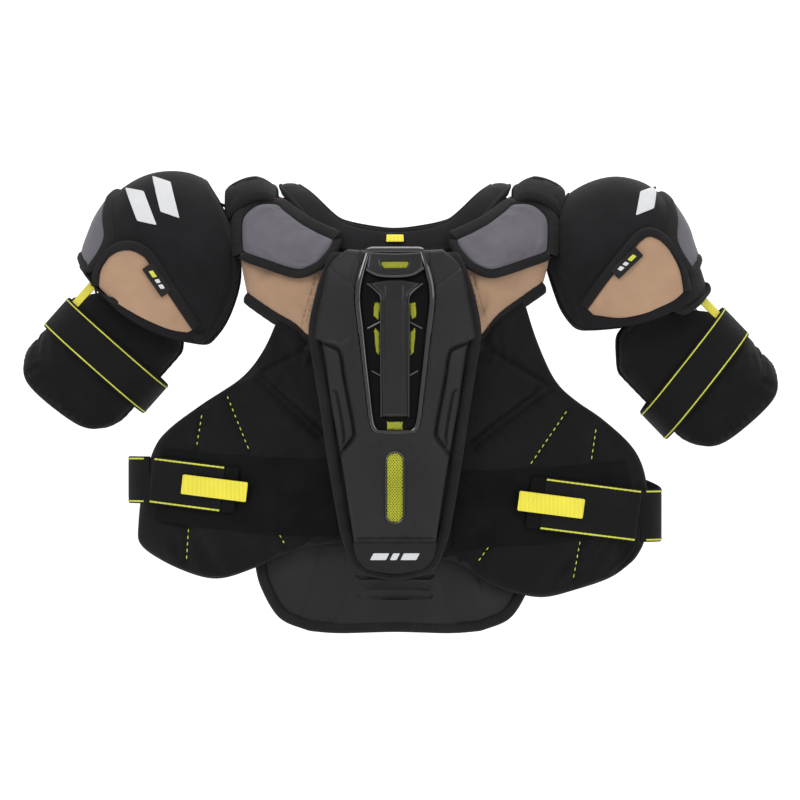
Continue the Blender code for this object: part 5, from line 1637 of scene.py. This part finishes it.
def cap_panels(side, setting):
    body, form, shape = f"cap_{side}", cap_front(setting), TAN[side]
    inner = [shape["top"][0], shape["low"][0]]
    grid = patch([shape["top"], shape["low"], inner, shape["outer"]], 0.0016, 4)
    pad(f"cap_tan_{side}", form, grid, 0.0008, 0.0044, MAT["tan"], body, "tan_fabric",
        [f"cap_front_panel_{side}"], rim=(0.012, 0.25), puff=0.0006, slack=0.03, uneven=0.0005,
        seed=101 + setting["sign"])
    edge = np.vstack([spline(shape["outer"], np.linspace(1, 0, 40)),
                      spline(shape["top"], np.linspace(1, 0, 80))])
    binding(f"cap_tan_binding_{side}", form, evenly(edge, 0.002), 0.0010, 0.0044, body, step=0.002,
            closed=False)
    form = cap_side(setting)
    grid = patch([GREY["top"], GREY["low"], GREY["front"], GREY["rear"]], 0.0020, 5)
    pad(f"cap_grey_{side}", form, grid, 0.0008, 0.0044, MAT["grey"], body, "grey_fabric",
        [f"cap_side_panel_{side}"], rim=(0.014, 0.25), puff=0.0006, slack=0.03, uneven=0.0005,
        seed=105 + setting["sign"])
    binding(f"cap_grey_binding_{side}", form, border_of(grid), 0.0010, 0.0044, body, width=0.0100,
            step=0.002, shift=0.05)
    form = cap_front(setting)
    middle, run = TAG[side]
    grid = patch(lozenge(middle, run, 0.0180, 0.0066), 0.0010, 1)
    pad(f"cap_label_{side}", form, grid, 0.0060, 0.0012, MAT["label"], body, "label",
        [f"cap_tag_{side}"], rim=(0.001, 0.5), uneven=0.0001)
    marks = []
    along = np.array(run) / np.linalg.norm(run)
    for k, (offset, size) in enumerate(((-0.0075, 0.0040), (0.0015, 0.0022), (0.0085, 0.0026))):
        centre = np.array(middle) + along * offset
        bar = patch(lozenge(centre, along, size, 0.0021, 0.0008), 0.0007, 1)
        marks.append(pad(f"cap_label_bar_{side}_{k}", form, bar, 0.0068, 0.0006,
                         MAT["print"] if k else MAT["thread"], rim=(0.0006, 0.5), uneven=0.0))
    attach(merge(f"cap_label_bars_{side}", marks), body)
    bars = []
    for k, (a, b) in enumerate(MARK[side]):
        a, b = np.array(a), np.array(b)
        bar = patch(lozenge((a + b) / 2, b - a, np.linalg.norm(b - a) / 2, 0.0088, 0.0060), 0.0014, 1)
        bars.append(pad(f"cap_mark_{side}_{k}", form, bar, 0.0004, 0.0012, MAT["print"], rim=(0.001, 0.5),
                        uneven=0.0))
    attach(merge(f"cap_marks_{side}", bars), body)


def cap_links(side, setting):
    """The short web that ties a cap to the shoulder, under the arched pad."""
    sign = setting["sign"]
    for name, y in (("front", -0.022), ("rear", 0.026)):
        path = [(0.136, 0.0120), (0.158, 0.0112), (0.180, 0.0125), (0.200, 0.0225)]
        flat = spline(path, np.linspace(0, 1, 24))
        depth = y * (0.9 + 0.2 * np.linspace(0, 1, 24))
        points = np.stack([sign * flat[:, 0], depth, flat[:, 1]], -1)
        wide = np.tile((0.0, 1.0, 0.0), (24, 1))
        web = ribbon(f"cap_web_{name}_{side}", points, wide, 0.026, 0.0020, MAT["elastic"],
                     slot="elastic")
        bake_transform(web)


def caps():
    for side, setting in SIDES.items():
        cap_cover(side, setting)
        cap_panels(side, setting)
        cap_links(side, setting)
        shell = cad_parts[f"cap_shell_{side}"]
        shell.material_slots[0].material = MAT["shell"]


# ---------------------------------------------------------------- upper arm guards
def section_s(angle, lift=0.0):
    """How far outwards a guard's wall lies at an angle round it."""
    c, s = np.cos(angle), np.sin(angle)
    return (GUARD_RS + lift) * s * squared(c, s, GUARD_POWER)


def guards():
    for side, setting in SIDES.items():
        form, body = guard(setting), f"arm_{side}"
        half_open = radians(34)
        angle = np.linspace(-pi / 2 + half_open, 3 * pi / 2 - half_open, 120)
        s = section_s(angle)
        start = 0.012 - 0.063 * np.sin(pi / 2 * np.clip((GUARD_RS - s) / 0.075, 0, 1))
        start += 1.15 * np.clip(-0.029 - s, 0, 1)
        end = GUARD_LENGTH - 0.004 - 0.045 * np.abs(np.linspace(-1, 1, 120)) ** 8
        end += 0.013 * np.clip(-s / GUARD_RS, 0, 1) ** 2
        end -= 0.026 * np.clip(s / GUARD_RS, 0, 1) ** 6
        v = np.linspace(0, 1, 42)[:, None]
        grid = np.stack([np.broadcast_to(angle * GUARD_RY, (42, 120)), start + (end - start) * v], -1)
        round_corners(grid, 6)
        low = np.stack([angle * GUARD_RY, end - 0.030 - 0.010 * np.cos(angle)], -1)[12:-12]
        curve_in = np.stack([angle * GUARD_RY, end - 0.0175], -1)[10:-10]
        seams = [(low[::3], 0.0024, 0.0016), (curve_in[::3], 0.0018, 0.0020)]
        # Painted shade: the guard takes the darkened copy of the black fabric.
        pad(f"guard_{side}", form, grid, 0.0, GUARD_T, MAT["shaded_black"], body, "black_fabric",
            [f"arm_guard_{side}"], rim=(0.008, 0.5), seams=seams, puff=0.0012, slack=0.03,
            uneven=0.0005, seed=121 + setting["sign"], back_seams=0.0)
        binding(f"guard_binding_{side}", form, border_of(grid), 0.0, 0.0050, body, width=0.0100)
        lift = GUARD_T / 2 + 0.0022 + ARM_STRAP_T / 2
        turn = np.linspace(0, 2 * pi, 150, endpoint=False)
        d = ARM_STRAP_D + setting["skew"] * section_s(turn, lift)
        around = turn * GUARD_RY
        at = form(around, d, np.full(len(turn), lift))
        up = unit(form(around, d, np.full(len(turn), lift + NUDGE)) - at)
        run = unit(np.roll(at, -1, 0) - np.roll(at, 1, 0))
        side_way = unit(np.cross(up, run))
        sweep(f"guard_strap_{side}", at, side_way, up, ARM_STRAP_W / 2, ARM_STRAP_T / 2,
              MAT["elastic"], power=6.0, sections=24, body=body, slot="elastic",
              stands_for=[f"arm_strap_{side}"])
        lines = []
        for edge in (-1, 1):
            line = at + side_way * edge * (ARM_STRAP_W / 2 - 0.0026) + up * (ARM_STRAP_T / 2 + 0.0002)
            lines.append(sweep(f"guard_line_{side}_{edge + 1}", line, side_way, up, 0.0007, 0.0006,
                               MAT["thread"], power=2.0, sections=8))
        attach(merge(f"guard_lines_{side}", lines), body)
        lift += ARM_STRAP_T + 0.0022
        across = np.linspace(radians(8), radians(-42), 26)
        down = np.linspace(-0.5, 0.5, 22)[:, None] * 0.038 * 0.9
        skew = setting["skew"] * section_s(across, lift)
        grid = np.stack([np.broadcast_to(across * GUARD_RY, (22, 26)), ARM_STRAP_D + down + skew], -1)
        round_corners(grid, 2)
        ribs = (lambda g: 0.0006 * sum(bump(g[..., 0] + 0.030 + 0.005 * k, 0.0012) for k in range(3)))
        pad(f"guard_tab_{side}", form, grid, lift, 0.0022, MAT["yellow"], f"arm_tab_{side}",
            "yellow_webbing", [f"arm_strap_tab_{side}"], rim=(0.0015, 0.5), uneven=0.0002,
            extra=ribs)
        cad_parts[f"arm_plate_{side}"].material_slots[0].material = MAT["shell"]


def length_webs():
    """The yellow webbing that holds each guard under its cap."""
    for side, setting in SIDES.items():
        outward, down = arm_axes(setting["sign"], CAP_TILT)
        x, z = setting["pivot"]
        pivot = np.array((setting["sign"] * x, 0.0, z)) - cap_centre(setting)
        pivot_s, pivot_d = pivot @ outward, pivot @ down
        inside = setting["half_out"] - COVER_T - 0.0160
        turn = setting["tilt"] - CAP_TILT
        path = spline([(inside, 0.010), (inside, 0.050), (pivot_s - 0.008, pivot_d),
                       (pivot_s - 0.008 + 0.011 * sin(turn), pivot_d + 0.011 * cos(turn))],
                      np.linspace(0, 1, 30))
        points = cap_place(setting, path[:, 0], np.full(30, -0.023), path[:, 1])
        ribbon(f"length_web_{side}", points, np.tile((0.0, 1.0, 0.0), (30, 1)), 0.022, 0.0018,
               MAT["yellow"], body=f"length_{side}", slot="yellow_webbing",
               stands_for=[f"length_tab_{side}"])
        form, middle = guard(setting), radians(124)
        across = [(middle - 0.13) * GUARD_RY, (middle + 0.13) * GUARD_RY]
        ends = [[(a, d) for a in across] for d in (-0.014, 0.021)]
        grid = patch(between(*ends), 0.0012, 1)
        pad(f"guard_web_{side}", form, grid, GUARD_T / 2 + 0.0007, 0.0016, MAT["yellow"], f"arm_{side}",
            "yellow_webbing", rim=(0.001, 0.5), uneven=0.0002)


# ---------------------------------------------------------------- stage, light and camera
def stage():
    """A white floor that bends up into a wall, a white world, soft lamps and the camera."""
    g = bpy.data.materials.new("pale_floor")
    g.use_nodes = True
    shader = g.node_tree.nodes["Principled BSDF"]
    shader.inputs["Base Color"].default_value = (0.90, 0.90, 0.90, 1.0)
    shader.inputs["Roughness"].default_value = 0.9
    shader.inputs["Emission Color"].default_value = (1.0, 1.0, 1.0, 1.0)
    shader.inputs["Emission Strength"].default_value = 0.30
    profile = [(-FLOOR_REACH, FLOOR_Z), (FLOOR_REACH, FLOOR_Z)]
    for k in range(1, 17):
        a = pi / 2 * k / 16
        profile.append((FLOOR_REACH + FLOOR_BEND * sin(a), FLOOR_Z + FLOOR_BEND * (1 - cos(a))))
    profile.append((FLOOR_REACH + FLOOR_BEND, 4.0))
    verts = [(x, y, z) for y, z in profile for x in (-FLOOR_REACH, FLOOR_REACH)]
    faces = [(2 * k, 2 * k + 1, 2 * k + 3, 2 * k + 2) for k in range(len(profile) - 1)]
    mesh = bpy.data.meshes.new("backdrop")
    mesh.from_pydata(verts, [], faces)
    mesh.materials.append(g)
    mesh.shade_smooth()
    floor = bpy.data.objects.new("backdrop", mesh)
    bpy.context.scene.collection.objects.link(floor)
    world = bpy.data.worlds.new("studio")
    world.use_nodes = True
    world.node_tree.nodes["Background"].inputs[0].default_value = (1.0, 1.0, 1.0, 1.0)
    world.node_tree.nodes["Background"].inputs[1].default_value = WORLD
    bpy.context.scene.world = world
    bpy.context.scene.view_settings.view_transform = "Standard"
    for name, place, size, energy in LIGHTS:
        lamp = bpy.data.lights.new(name, "AREA")
        lamp.energy = energy
        lamp.shape = "RECTANGLE"
        lamp.size, lamp.size_y = size
        obj = bpy.data.objects.new(name, lamp)
        obj.location = place
        aim = Vector((0, 0, -0.18)) - Vector(place)
        obj.rotation_euler = aim.to_track_quat("-Z", "Y").to_euler()
        bpy.context.scene.collection.objects.link(obj)
    camera = bpy.data.cameras.new("camera")
    camera.sensor_width = 36.0
    camera.lens = LENS
    eye = bpy.data.objects.new("camera", camera)
    eye.location = EYE
    eye.rotation_euler = (pi / 2, 0, 0)
    bpy.context.scene.collection.objects.link(eye)
    bpy.context.scene.camera = eye


EYE, LENS = (0.0053, -6.0, -0.1943), 252.9
FLOOR_Z = -0.62
FLOOR_REACH = 10.0                      # beyond the camera on every side
FLOOR_BEND = 1.5                        # radius of the bend up to the wall
WORLD = 0.85
LIGHTS = [
    ("key_light", (-1.6, -2.4, 1.9), (1.4, 1.4), 52),
    ("fill_light", (1.9, -2.2, 0.9), (1.8, 1.8), 26),
    ("top_light", (0.0, 0.3, 2.4), (2.2, 1.6), 40),
    ("rear_light", (0.6, 2.2, 1.6), (1.6, 1.6), 20),
]

wings()
chest_middle()
loop_bands()
yokes()
collar()
bib()
plate()
bib_middle()
end_patch()
belly()
clavicles()
front_straps()
back_half()
arches()
rear_straps()
caps()
guards()
length_webs()
stage()
